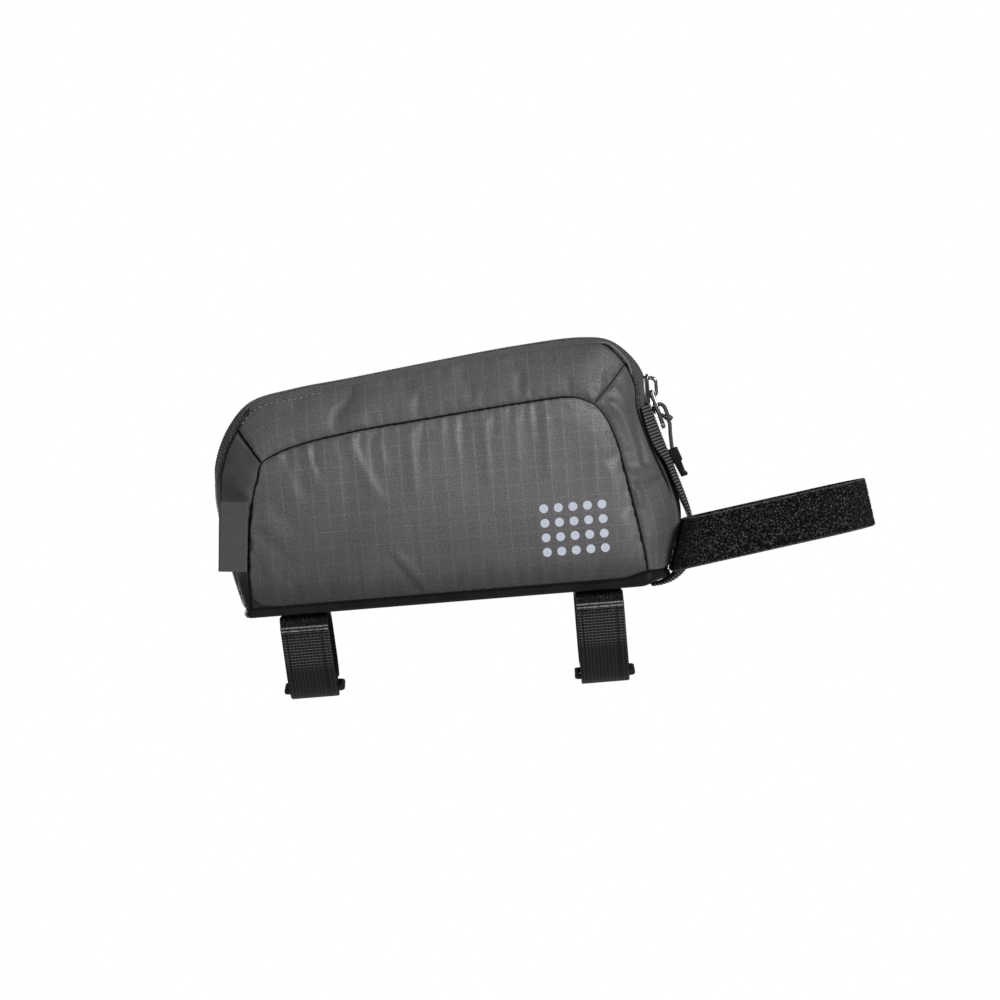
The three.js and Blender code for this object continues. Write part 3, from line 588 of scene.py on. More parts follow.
def band_point(k, w, depth):
    """A bevelled band: w runs from the side seam to the shoulder seam."""
    side, shoulder, _, band = section_at(k, depth)
    w = w[..., None]
    return above_rim(side + (shoulder - side) * w + band * BAND_CROWN * 4 * w * (1 - w))


def strip_point(k, w, depth):
    """The middle strip: w runs from the right shoulder seam, at 0, over the ridge to the left one, at 2."""
    _, shoulder, ridge, _ = section_at(k, depth)
    rise = (1 - (1 - w) ** 2)[..., None]
    points = shoulder + (ridge - shoulder) * rise
    points[..., 1] = shoulder[..., 1] * (1 - w)
    return above_rim(points)


up_rear, up_front = evenly(SIDE, 0, REAR_MITRE), evenly(SIDE, LAST, FRONT_MITRE)
along_top = evenly(SIDE, REAR_MITRE, FRONT_MITRE)


def side_point(u, v, depth):
    """The side panel, blended from its four edges: u runs from rear to front and v up from the base."""
    def seam(k):
        return section_at(k, depth)[0]

    def foot(share):
        rear, front = seam(np.zeros_like(u)), seam(np.full_like(u, LAST))
        points = rear * (1 - share)[..., None] + front * share[..., None]
        points[..., 2] = rim_height(points[..., 0]) + SEAM_GAP
        return points

    zero, one, U, V = np.zeros_like(u), np.ones_like(u), u[..., None], v[..., None]
    points = foot(u) * (1 - V) + seam(along_top(u)) * V + seam(up_rear(v)) * (1 - U) + seam(up_front(v)) * U
    points -= foot(zero) * (1 - U) * (1 - V) + foot(one) * U * (1 - V)
    points -= seam(REAR_MITRE + zero) * (1 - U) * V + seam(FRONT_MITRE + zero) * U * V
    return points + RIGHT * SIDE_CROWN * np.sqrt(np.clip(16 * U * (1 - U) * V * (1 - V), 0, None))


print("side panel middle", side_point(np.array([0.5]), np.array([0.5]), np.array([0.0])).round(1))

# %% [markdown]
# ## Ripstop cloth
# The body is a dark grey ripstop: a plain weave with a thicker thread every few millimetres, which shows as a
# fine lighter grid, and a coating that gives a soft sheen. The pattern follows the cloth, so it is read from
# each panel's own map, in metres along the weave.

# %% Ripstop cloth
GRID_ALONG, GRID_UP, THREAD_PITCH = 6.2 * MM, 6.6 * MM, 0.8 * MM
RIPSTOP = {"specular": 0.4, "sheen": 0.1, "sheen_roughness": 0.4}


def ripstop_patterns(finish, brightness):
    """Gives a finish the ripstop's gloss and relief. Returns its colour and the patterns behind it."""
    weave = finish.weave()
    along, up = finish.axis(weave, 0), finish.axis(weave, 1)

    def specks(grains_along, grains_up, detail=3.0):
        """Noise in the weave's plane, with its grains per metre."""
        scaled = finish.put("Mapping", {"Vector": weave, "Scale": (grains_along, grains_up, 1)})
        return finish.noise(scaled, 1.0, detail)

    slubs, flecks = specks(1300, 1500), specks(2100, 1500, 2.0).fade(0.56, 0.74)
    patches = specks(70, 24).fade(0.3, 0.7)
    # Upright ripstop threads that grow lighter towards the top of the map: a thread pattern with painted
    # sheen on it.
    upright_lines_and_sheen = along.zigzag(GRID_ALONG).fade(0.02, 0.08, 0.11, 0.0) * up.fade(0.01, 0.07, 1.0, 1.8)
    level = up.zigzag(GRID_UP).fade(0.02, 0.06, 0.105, 0.0)
    grid = upright_lines_and_sheen * specks(400, 160).fade(0.35, 0.65, 0.5) + level * specks(160, 500).fade(0.35, 0.65, 0.5)
    threads = (along.wave(THREAD_PITCH) * up.wave(THREAD_PITCH)).fade(-1.0, 1.0)
    share = grid + slubs.fade(0.28, 0.75) * 0.3 + flecks * patches * 0.28 + patches * 0.06
    finish.set(roughness=slubs.fade(0.3, 0.7, 0.58, 0.42))
    finish.relief(grid * 1.2 + threads * 0.2 + slubs * 0.5, 0.00014, 0.7)
    dark, light = ((1.01 * shade, 0.97 * shade, shade, 1) for shade in np.array((0.085, 0.33)) * brightness)
    return share.mix(dark, light), along, up, slubs


def ripstop_finish(name, brightness, axis=0, *shade):
    """Plain ripstop, darkened by its brightness as painted shade. A fade from a start to an end along an axis
    of the bag may darken it more.
    """
    finish = Finish(name, **RIPSTOP)
    colour, *_ = ripstop_patterns(finish, brightness)
    if shade:
        colour = finish.axis(finish.place(), axis).fade(*shade).mix(BLACK, colour)
    finish.set(colour=colour)
    return finish


# The top bands and flaps are a darker copy of the side cloth, as painted shade, and darker again towards the
# front bend. The front bands are a darker copy as painted shade, and the upper front strip has the keeper
# webbing's shadow painted on it.
ripstop = ripstop_finish("ripstop", 0.85, 0, 0.03, 0.07, 1.0, 0.79)
front_ripstop = ripstop_finish("front_ripstop", 0.67)
shaded_ripstop = ripstop_finish("shaded_ripstop", 0.67, 2, 0.030, 0.044, 1.0, 0.07)
print("ripstop lines every", round(GRID_ALONG / MM, 1), "and", round(GRID_UP / MM, 1), "mm")

# %% [markdown]
# ## Printed cloth
# The side panels carry a plain print of pale dots near the front, a little worn where the weave stands up. A
# print could be a thin sheet of its own, but ink lies in the cloth, so it is a part of the finish. The cloth
# has painted shade and light: it is darker towards the bottom and the rear, lighter towards the front, and
# darkest along its foot. At the lower rear corner the base's dark cloth is turned up over it.

# %% Printed ripstop
CORNER, CORNER_REACH = (-0.0862, 0.0034), (0.0125, 0.0085)
DOT_PITCH, DOT_RADIUS, DOT_EDGE = 6 * MM, 1.9 * MM, 0.15 * MM
DOTS, DOTS_MIDDLE, INK = (5, 4), (0.051, 0.0265), (0.6, 0.64, 0.75, 1)
printed = Finish("printed_ripstop", **RIPSTOP)
cloth_colour, along, up, slubs = ripstop_patterns(printed, 1.0)
squares, insides, corner_squares = [], [], []
for way, middle, count, corner, reach in zip((along, up), DOTS_MIDDLE, DOTS, CORNER, CORNER_REACH):
    half = count / 2 * DOT_PITCH
    cell = (way - (middle - half)).calc("DIVIDE", DOT_PITCH).calc("FRACT")
    squares.append(((cell - 0.5) * DOT_PITCH).calc("POWER", 2.0))
    insides.append(printed.put("Math", {0: way, 1: middle, 2: half}, operation="COMPARE"))
    corner_squares.append(way.fade(corner, corner + reach, 1.0, 0.0, "LINEAR").calc("POWER", 2.0))
from_dot, to_corner = ((first + second).calc("SQRT") for first, second in (squares, corner_squares))
dots = from_dot.fade(DOT_RADIUS - DOT_EDGE, DOT_RADIUS, 1.0, 0.0) * (insides[0] * insides[1])
ink = dots * slubs.fade(0.3, 0.8, 1.0, 0.72)
# Painted shade and light: darker towards the bottom and the rear, lighter towards the front, darkest along
# the foot.
wear_and_shade = up.fade(0.004, 0.06, 0.6) * along.fade(-0.09, 0.08, 0.8, 1.2) * up.fade(0.004, 0.018, 0.45)
in_panel = to_corner.fade(0.9, 0.96, 1.0, 0.04)
printed.set(colour=ink.mix(in_panel.mix(BLACK, wear_and_shade.mix(BLACK, cloth_colour)), INK))
print("dots", DOTS)

# %% [markdown]
# ## Coated cloth
# The rear bands and the base are a darker, smoother coated cloth. Its coating has fine pebbles and large,
# faint patches, and both are noise on the cloth's own map. The rear bands darken towards their foot.

# %% Coated cloth
def coated_finish(name, dark, light, specular, at_foot):
    """A smooth coated cloth. at_foot is the share of its colour that is left at its foot."""
    finish = Finish(name, specular=specular, sheen=0.05)
    patches = finish.noise(finish.weave(), 60, 4.0)
    above_foot = finish.axis(finish.place(), 2).fade(0.012, 0.034, at_foot)
    colour = above_foot.mix(BLACK, patches.fade(0.3, 0.7).mix(dark, light))
    finish.set(colour=colour, roughness=patches.fade(0.3, 0.7, 0.52, 0.68))
    finish.relief(finish.noise(finish.weave(), 2200, 2.0), 0.00006, 0.7)
    return finish


coated = coated_finish("coated_cloth", (0.07, 0.064, 0.07, 1), (0.11, 0.102, 0.11, 1), 0.12, 0.15)
base_cloth = coated_finish("base_cloth", (0.004, 0.0035, 0.004, 1), (0.01, 0.009, 0.01, 1), 0.14, 1.0)
print("finishes: coated cloth, base cloth")

# %% [markdown]
# ## Body panels
# Each panel is a grid laid between its seams. Beside a seam the cloth turns inwards, which makes the thin
# dark groove of a sewn edge, so the grid's rows lie closer together there. Puckers and folds could be painted
# as bumps, but real ones change the outline and catch the light, so they are pushed into the grid, and a
# short cloth simulation settles them.

# %% Panel rows and rolled edges
ROLL_DEPTH, ROLL_REACH = 1.3, 2.2
NEAR_SEAM = np.array([0, 0.3, 0.7, 1.2, 1.8, 2.6])  # distances of the rows beside a seam


def seam_rows(length, step):
    """Shares of the way across a panel, closer together beside its two seams."""
    start, end = NEAR_SEAM[-1], length - NEAR_SEAM[-1]
    middle = np.linspace(start, end, max(2, round((end - start) / step)) + 1)
    return np.concatenate([NEAR_SEAM[:-1], middle, length - NEAR_SEAM[-2::-1]]) / length


def rolled(edge):
    """How deep the cloth lies where it turns inwards, from the distance to its seam."""
    return ROLL_DEPTH * np.clip(1 - edge / ROLL_REACH, 0, 1) ** 2


def shoulder_share(k):
    """How much the cloth turns in at the shoulder seam: deep at the mitres, little on the top, not at all on
    the lower nose."""
    rear, front = 1 - smoothstep(k, 5.3, 6.4), smoothstep(k, 11.4, 12.4)
    return (0.45 + 0.55 * np.maximum(rear, front)) * (1 - smoothstep(k, 16.6, 17.6))


print("rows across a side panel:", len(seam_rows(72, 1.3)))

# %% Folds and puckers
# A fold is x, z, x, z and so on along its crest, then its width and its height.
SIDE_FOLDS = [
    (-69.1, 67.5, -62.5, 48.1, 2.8, 1.3), (-56.4, 67.2, -54.4, 54.2, 2.5, 1.1),
    (-38.9, 68.8, -36, 61, -28.7, 46.1, 2.5, 1.2), (-27.0, 67.8, -25.5, 58.7, 2.1, 0.8),
    (-14.0, 69.8, -13.6, 47.2, 2.1, 0.85), (4.7, 71.2, 5.3, 57.7, 1.8, 0.5),
    (-23.3, 21.7, -12.3, 7.9, 1.9, 1.15), (-25.4, 20.0, -14.4, 6.2, 2.2, -0.6),
    (17.3, 72.3, 16.9, 50, 1.8, 0.6), (30.2, 73.4, 29.7, 56.6, 1.8, 0.55), (42.8, 72.4, 41.8, 50.1, 1.8, 0.6),
    (38.9, 78.2, 39.2, 66, 1.5, -0.6), (61.4, 58.2, 60.5, 41.4, 1.8, 0.35),
    (68.0, 66.1, 67.6, 56.9, 1.8, 0.35),
    (-79.4, 53.6, -63.5, 35.5, 3.6, -0.9), (-77.8, 45.9, -72.6, 34.5, 2.6, 0.6),
    (-79.9, 35.1, -68.6, 24.1, 2.4, -0.55), (-80.1, 32.6, -74.1, 15.3, 2.4, 0.5),
]
TOP_FOLDS = [
    (-29.3, 91, -36, 79, 5.0, 0.9), (-37.5, 90, -44, 77, 4.0, -0.9), (-67.7, 86.8, -70.2, 78.0, 3.5, 0.6),
    (-9.2, 84, -10.3, 78.4, 2.0, -0.4), (54.2, 92, 52.8, 82.5, 3.5, -0.4), (66.4, 86, 65.1, 79, 3.0, 0.5),
    (-52.7, 88, -57.7, 78, 4.5, 0.5), (-4.0, 93.0, -7.0, 82.7, 4.5, 0.35), (25, 97, 24, 84, 5, 0.35),
    (12, 95, 10, 83, 4.5, -0.35),
]
FRONT_FOLDS = [
    (70.5, 76.5, 74.5, 70.5, 77, 62, 78.2, 56.5, 78.6, 50, 2.2, 1.4), (80, 47.5, 85, 46.8, 2.2, 0.8),
    (72, 83, 75, 77, 2.8, 0.7), (81, 88, 80.2, 80, 79.8, 73.6, 81.2, 62.2, 82.2, 56.5, 82.4, 51.5, 2.0, -1.5),
    (78.4, 42, 84, 42, 88.5, 43.5, 1.3, -1.0), (78.4, 39.6, 78.7, 34.1, 1.3, 0.9), (88, 36, 84, 20, 3.0, 0.5),
]


def fold_height(points, folds):
    """The height of folds at a panel's points, from the distance to each fold's crest."""
    height = np.zeros(len(points))
    flat = points[:, [0, 2]]
    for *crest, width, rise in folds:
        crest = np.reshape(crest, (-1, 2))
        away = np.full(len(flat), np.inf)
        for start, end in zip(crest, crest[1:]):
            way = end - start
            t = np.clip(((flat - start) @ way) / (way @ way), 0, 1)
            away = np.minimum(away, np.linalg.norm(flat - start - t[:, None] * way, axis=1))
        height += rise * np.exp(-((away / width) ** 2))
    return height


def ripples(x, seed):
    """An uneven wave along a seam, from -1 to 1."""
    parts = 0.55 * np.sin(x / 0.83 + seed) + 0.3 * np.sin(x / 1.37 + 2.1 * seed)
    return parts + 0.25 * np.sin(x / 0.52 + 0.7 * seed)


print("folds:", len(SIDE_FOLDS), len(TOP_FOLDS), len(FRONT_FOLDS))

# %% What pushes each panel out
PANEL_SIZES = {"side": (168, 72), "top": (175, 24), "front": (92, 19), "rear": (78, 17)}  # along and across
PUCKER_REACH, GATHER_REACH, GATHER_PITCH = 5, 15, 12.4


def side_bulge(points, v):
    height = PANEL_SIZES["side"][1]
    below_seam, x = (1 - v) * height, points[:, 0]
    gathers = 0.5 * np.sin(2 * math.pi * x / GATHER_PITCH + 0.6)
    gathers += 0.45 * np.sin(2 * math.pi * x / (GATHER_PITCH / 2) + 2.0 + 0.5 * np.sin(x / 9))
    puckers = 0.34 * gathers * np.exp(-below_seam / GATHER_REACH)
    puckers += 0.3 * ripples(x, 1.3) * np.exp(-below_seam / PUCKER_REACH)
    low_puckers = 0.25 * ripples(x * 0.8, 4.2) * np.exp(-v * height / PUCKER_REACH)
    return puckers + low_puckers + fold_height(points, SIDE_FOLDS)


def top_bulge(points, v):
    puckers = 0.16 * ripples(points[:, 0], 2.7) * np.exp(-v * PANEL_SIZES["top"][1] / PUCKER_REACH)
    return fold_height(points, TOP_FOLDS) + puckers


def front_bulge(points, v):
    return fold_height(points, FRONT_FOLDS)


def rear_bulge(points, v):
    return 0.3 * ripples(points[:, 2] * 0.5, 0.4) * np.sin(np.pi * v)


print("panel sizes:", PANEL_SIZES)

# %% Panel surfaces and their maps
def band_between(first, last):
    """A band's surface between two sections, and how far it turns in at its two seams and its ends."""
    k = evenly(SHOULDER, first, last)

    def surface(u, v, depth):
        return band_point(k(u), 0.007 + 0.986 * v, depth)

    def shares(u):
        at_front_mitre = smoothstep(k(u), 11, 12) * smoothstep(-k(u), -16, -15)
        return 1.0, shoulder_share(k(u)), 1 - 0.45 * at_front_mitre

    return surface, shares


def side_surface(u, v, depth):
    return side_point(0.001 + 0.998 * u, 0.002 + 0.996 * v, depth)


def side_shares(u):
    return 0.6, 1.0, 1.0


def side_weave(u, v):
    return side_point(u, v, np.zeros_like(u))[:, [0, 2]]


top_surface, top_shares = band_between(REAR_MITRE + 0.02, FRONT_MITRE - 0.02)
front_surface, front_shares = band_between(FRONT_MITRE + 0.02, LAST)
rear_surface, rear_shares = band_between(0, REAR_MITRE - 0.02)


def top_weave(u, v):
    return np.column_stack([top_surface(u, v, np.zeros_like(u))[:, 0], 20 + PANEL_SIZES["top"][1] * v])


def end_weave(u, v):
    length, width = PANEL_SIZES["front"]
    return np.column_stack([width * v, length * u])


print("middle of the top band's map", top_weave(np.array([0.5]), np.array([0.5])).round(1))

# %% Cut the panels
# Surface, how far it turns in, steps along and across, map, finish, slot and what pushes it out.
PANELS = {
    "side": (side_surface, side_shares, (0.9, 1.3), side_weave, printed, "ripstop_cloth", side_bulge),
    "top": (top_surface, top_shares, (1.2, 1.2), top_weave, ripstop, "ripstop_cloth", top_bulge),
    "front": (front_surface, front_shares, (1, 1), end_weave, front_ripstop, "ripstop_cloth", front_bulge),
    "rear": (rear_surface, rear_shares, (1.2, 1.2), end_weave, coated, "coated_cloth", rear_bulge),
}


def cut_panel(kind, hand, surface, shares, steps, weave, finish, slot, bulge):
    length, width = PANEL_SIZES[kind]
    u_rows, v_rows = seam_rows(length, steps[0]), seam_rows(width, steps[1])

    def place(i, j):
        u, v = u_rows[i], v_rows[j]
        ends, low, high = np.minimum(u, 1 - u) * length, v * width, (1 - v) * width
        low_share, high_share, end_share = shares(u)
        rolls = [end_share * rolled(ends), low_share * rolled(low), high_share * rolled(high)]
        depth = np.maximum.reduce(rolls)
        points = surface(u, v, depth)
        outwards = unit(points - surface(u, v, depth + 0.5))
        calm = smoothstep(np.minimum.reduce([ends, low, high]), 0, 2.5)
        return (points + outwards * (bulge(points, v) * calm)[:, None]) * HANDS[hand]

    def in_map(i, j):
        return weave(u_rows[i], v_rows[j])

    node = f"side_panel_{hand}" if kind == "side" else f"{kind}_band_{hand}"
    name = f"{kind}_cloth_{hand}"
    return lay(name, len(u_rows) - 1, len(v_rows) - 1, place, in_map, slot, finish, node)


panels = {(kind, hand): cut_panel(kind, hand, *row) for kind, row in PANELS.items() for hand in HANDS}

# %% [markdown]
# ## Settling the cloth
# Blender's cloth holds each panel by its seams and lets the rest move. The panel is made a little too full
# beside its seams, as cloth is when a seam gathers it, so it buckles there into puckers. The trial runs at
# ten times the size, which suits the solver, and its result is written back into the panel, with a limit on
# how far a point may move.

# %% Trial cloth
TRIAL_SCALE, TRIAL_FRAMES, MOST_MOVE = 10, 16, 1.6 * MM
FULLNESS = {"side": 0.013, "top": 0.01, "front": 0.003, "rear": 0.008}  # share by which a panel is too wide
CLOTH_SETTINGS = {
    "vertex_group_mass": "seam", "quality": 5, "mass": 0.3, "tension_stiffness": 25,
    "compression_stiffness": 25, "shear_stiffness": 12, "bending_stiffness": 1.5, "use_pressure": True,
    "uniform_pressure_force": 0.6,
}


def trial_of(kind, panel):
    """A larger copy of a panel, held at its seams, with cloth on it."""
    mesh = panel.data.copy()
    mesh.transform(Matrix.Scale(TRIAL_SCALE, 4))
    trial = linked(panel.name + "_trial", mesh)
    uses = np.bincount(np.array([loop.edge_index for loop in mesh.loops]), minlength=len(mesh.edges))
    rim = sorted({v for edge in mesh.edges if uses[edge.index] == 1 for v in edge.vertices})
    trial.vertex_groups.new(name="seam").add(rim, 1.0, "REPLACE")
    cloth = trial.modifiers.new("cloth", "CLOTH")
    for key, value in CLOTH_SETTINGS.items():
        setattr(cloth.settings, key, value)
    cloth.settings.shrink_min = -FULLNESS[kind]
    cloth.settings.effector_weights.gravity = 0
    cloth.collision_settings.use_collision = False
    cloth.point_cache.frame_end = TRIAL_FRAMES
    return trial


def coordinates(mesh):
    points = np.empty(len(mesh.vertices) * 3)
    mesh.vertices.foreach_get("co", points)
    return points.reshape(-1, 3)


print("points of a side panel:", len(coordinates(panels["side", "right"].data)))

# %% Settle the panels
trials = [trial_of(kind, panel) for (kind, _), panel in panels.items()]
for number in range(1, TRIAL_FRAMES + 1):
    scene.frame_set(number)
for panel, trial in zip(panels.values(), trials):
    settled = trial.evaluated_get(bpy.context.evaluated_depsgraph_get()).data
    rest = coordinates(panel.data)
    shift = coordinates(settled) / TRIAL_SCALE - rest
    far = np.linalg.norm(shift, axis=1, keepdims=True)
    shift *= np.minimum(1, MOST_MOVE / np.maximum(far, 1e-9))
    panel.data.vertices.foreach_set("co", (rest + shift).ravel())
    panel.data.update()
    print(panel.name, "moved at most", round(np.linalg.norm(shift, axis=1).max() / MM, 2), "mm")
for trial in trials:
    mesh = trial.data
    bpy.data.objects.remove(trial)
    bpy.data.meshes.remove(mesh)
scene.frame_set(1)

CLOTH_THICKNESS = 1.1
for (kind, hand), panel in panels.items():
    thicken(panel, CLOTH_THICKNESS)

# %% [markdown]
# ## Seam binding
# Inside the bag a dark tape covers each seam, and outside it shows only as a black line at the bottom of the
# groove. A thin tube along the same seam lines, a little below the cloth, closes the groove and draws that
# line. Binding, thread and pile are all dyed yarn, which a fine noise between two greys gives, so they share
# one function.

# %% Seam binding
BINDING_DEPTH, BINDING_RADIUS = 1.5, 0.85


def yarn_finish(name, dark, light, scale, detail=2.0, lint_range=None, **constants):
    """Dyed yarn: a dark and a light colour mixed by fine noise. A range of the noise makes it starker."""
    finish = Finish(name, **constants)
    lint = finish.noise(finish.place(), scale, detail)
    finish.set(colour=(lint.fade(*lint_range) if lint_range else lint).mix(dark, light))
    return finish


def both_sides(lines):
    return lines + [line * HANDS["left"] for line in lines]


def seam_lines():
    """The right half's seams at the binding's depth: side, shoulder, foot, mitres and the strips' feet."""
    k, share, foot = np.linspace(0, LAST, 300), np.linspace(0, 1, 40), np.linspace(0, 1, 80)

    def deep(numbers):
        return np.full_like(numbers, BINDING_DEPTH)

    side, shoulder, *_ = section_at(k, deep(k))
    lines = [above_rim(side), above_rim(shoulder)[k < 17], side_point(foot, 0 * foot, deep(foot))]
    lines += [band_point(at + 0 * share, share, deep(share)) for at in (0, REAR_MITRE, FRONT_MITRE, LAST)]
    return lines + [strip_point(at + 0 * share, share, deep(share)) for at in (0, LAST)]


binding_yarn = yarn_finish("seam_binding", grey(0.003), grey(0.012), 1400, roughness=0.85, specular=0.15)
binding_bm = tubes(both_sides(seam_lines()), BINDING_RADIUS, 1)
to_piece("seam_binding", binding_bm, "coated_cloth", binding_yarn)

# %% [markdown]
# ## Middle strips, flaps and zip
# A strip of cloth closes the bag's two ends below the zip, two flaps lie beside the zip on the top, and the
# zip's tapes lie between them. Outside, this kind of zip shows its tape, with the hidden coil as a ridge of
# small ribs on both sides of the middle line. Strip, flap and tape lie on one surface, so one function lays
# them all.

# %% Strips
EDGE_SHARE = 0.015  # how far a strip's edge lies from the shoulder seam, as a share of its half width
STRIP_WIDTH, STRIP_LENGTH, STRIP_THICKNESS, STRIP_COLUMNS = 22, 70, 1.2, 26
STRIP_SPAN = 60  # rough length of a strip, for the roll at its foot
REAR_STRIP_TOP, FRONT_STRIP_TOP = 3.33, 15.02


def lay_strip(name, rows, columns, place, weave, finish, slot, node, thickness, hand="right"):
    """Lays a strip. place and weave take shares of the way along and across it."""
    def on_strip(i, j):
        return place(j / rows, i / columns) * HANDS[hand]

    def in_map(i, j):
        return weave(j / rows, i / columns)

    return lay(name, columns, rows, on_strip, in_map, slot, finish, node, thickness=thickness)


def strip_between(first, last, foot):
    """A strip's place, rolled in at its foot and at the shoulder seams. It lies over the zip's end."""
    k = evenly(RIDGE, first, last)

    def place(along, across):
        at_shoulders = shoulder_share(k(along)) * rolled(np.minimum(across, 1 - across) * STRIP_WIDTH)
        depth = np.maximum(at_shoulders, rolled(np.abs(along - foot) * STRIP_SPAN))
        return strip_point(k(along), EDGE_SHARE + (2 - 2 * EDGE_SHARE) * across, depth)

    return place


def strip_weave(along, across):
    return np.column_stack([STRIP_WIDTH * across, STRIP_LENGTH * along])


for name, rows, place, finish, slot in (
    ("rear_strip", 60, strip_between(0, REAR_STRIP_TOP, 0), coated, "coated_cloth"),
    ("front_strip", 70, strip_between(FRONT_STRIP_TOP, LAST, 1), shaded_ripstop, "ripstop_cloth"),
):
    lay_strip(name + "_cloth", rows, STRIP_COLUMNS, place, strip_weave, finish, slot, name, STRIP_THICKNESS)

# %% Flaps
FLAP_REAR, FLAP_FRONT, FLAP_TIP, CHAIN_HALF = 5.7, 12.4, 0.15, 5.4
FLAP_LENGTH, FLAP_WIDTH, FREE_EDGE, FLAP_ROWS, FLAP_COLUMNS = 150, 8, 0.9, 200, 14


def flap_share(k):
    """Share of the strip's half width that a flap covers, tapering to a tip at both ends."""
    full = 1 - CHAIN_HALF / -section_at(k, np.zeros_like(k))[1][..., 1]
    ease = smoothstep(k, FLAP_REAR, FLAP_REAR + 1) * smoothstep(-k, -FLAP_FRONT, 1 - FLAP_FRONT)
    return FLAP_TIP + (full - FLAP_TIP) * ease


def flap_place(along, across):
    k = evenly(SHOULDER, FLAP_REAR, FLAP_FRONT)(along)
    share = EDGE_SHARE + (flap_share(k) - EDGE_SHARE) * across
    at_tips = rolled(np.minimum(along, 1 - along) * FLAP_LENGTH)
    depth = np.maximum(shoulder_share(k) * rolled(across * FLAP_WIDTH), at_tips)
    depth = depth + FREE_EDGE * np.clip(1 - (1 - across) * FLAP_WIDTH / FREE_EDGE, 0, 1) ** 2
    lift = 0.12 * ripples(0.7 * FLAP_LENGTH * along, 3.1) * smoothstep(across, 0.1, 0.5)
    return strip_point(k, share, depth - lift)


def flap_weave(along, across):
    return np.column_stack([FLAP_LENGTH * along, FLAP_WIDTH * across])


for hand in HANDS:
    name, node = f"flap_cloth_{hand}", f"zip_flap_{hand}"
    lay_strip(
        name, FLAP_ROWS, FLAP_COLUMNS, flap_place, flap_weave, ripstop, "ripstop_cloth", node,
        STRIP_THICKNESS, hand,
    )

# %% Lip
LIP_START, LIP_END, LIP_SHARE, LIP_RADIUS = 11.5, 13.6, 0.05, 0.6
edge_cloth = yarn_finish("edge_cloth", grey(0.07), grey(0.22), 1300, roughness=0.6, specular=0.35)
k = np.linspace(LIP_START, LIP_END, 60)
lip_depth = 1.1 - 1.3 * smoothstep(np.minimum(k - LIP_START, LIP_END - k), 0, 0.6)
lip_line = strip_point(k, LIP_SHARE + 0 * k, lip_depth)
to_piece("flap_lip", tubes(both_sides([lip_line]), LIP_RADIUS), "ripstop_cloth", edge_cloth)

# %% Stitches
STITCH_LENGTH, STITCH_GAP, STITCH_RADIUS, STITCH_HEIGHT = 1.5, 1.0, 0.2, 0.08
SEWN_FROM, SEWN_TO, SEWN_SHARE = 5.25, 7.6, 0.945  # sections, and the share of the way up the top band
thread = yarn_finish("sewing_thread", grey(0.14), grey(0.5), 1900, roughness=0.7, specular=0.3)


def stitches(line, length, gap):
    """Short runs of thread along a line of points in millimetres."""
    points, along = spaced(line, 0.3)
    starts = np.arange(0.5, along[-1] - length, length + gap)
    return [points[(along >= start) & (along <= start + length)] for start in starts]


def on_cloth(panel, line, height):
    """A line's points moved to the nearest place on a settled panel, at a height above it."""
    mesh = panel.data
    cloth = BVHTree.FromPolygons([v.co for v in mesh.vertices], [face.vertices[:] for face in mesh.polygons])
    found = [cloth.find_nearest(Vector(point) * MM) for point in line]
    return np.array([spot / MM + normal * height for spot, normal, *_ in found])


k = np.linspace(SEWN_FROM, SEWN_TO, 120)
top_row = stitches(band_point(k, SEWN_SHARE + 0 * k, 0 * k), STITCH_LENGTH, STITCH_GAP)
sewn = [on_cloth(panels["top", hand], run * HANDS[hand], STITCH_HEIGHT) for hand in HANDS for run in top_row]
to_piece("top_stitches", tubes(sewn, STITCH_RADIUS, 1), "ripstop_cloth", thread)

# %% Zip cloth
zip_cloth = Finish("zip_cloth", roughness=0.78, sheen=0.2, specular=0.3)
weave = zip_cloth.weave()
rib_waves, bar_waves = zip_cloth.axis(weave, 0).wave(0.7 * MM), zip_cloth.axis(weave, 1).wave(0.9 * MM)
knit, fuzz = (rib_waves + bar_waves).fade(-2.0, 2.0), zip_cloth.noise(weave, 1700)
zip_cloth.set(colour=(knit * fuzz.fade(0.35, 0.65)).mix(grey(0.007), grey(0.19, 0.02)))
zip_cloth.relief(knit + fuzz, 0.0002, 0.8)
print("finish: zip cloth")

# %% Zip tapes
ZIP_REAR, ZIP_FRONT, ZIP_LENGTH, COIL_PITCH = 3.2, 15.12, 249, 1.3
TAPE_WIDTH, TAPE_THICKNESS, TAPE_ROWS, TAPE_COLUMNS = 9, 0.8, 1130, 18
CHAIN_HEIGHT, COIL_HEIGHT, SLIT_DEPTH = 0.35, 0.22, 0.5
UNDER_FLAP, TUCK_DEPTH = 1.35, 1.5
zip_k = evenly(RIDGE, ZIP_REAR, ZIP_FRONT)


def tape_edge(k):
    """Where the tape starts: at the shoulder seam, or tucked under the flap where there is one."""
    at_rear = smoothstep(k, FLAP_REAR - 1, FLAP_REAR - 0.4)
    beside = at_rear * smoothstep(-k, -FLAP_FRONT - 1, -FLAP_FRONT - 0.4)
    return EDGE_SHARE + (flap_share(k) - 0.1 - EDGE_SHARE) * beside, beside


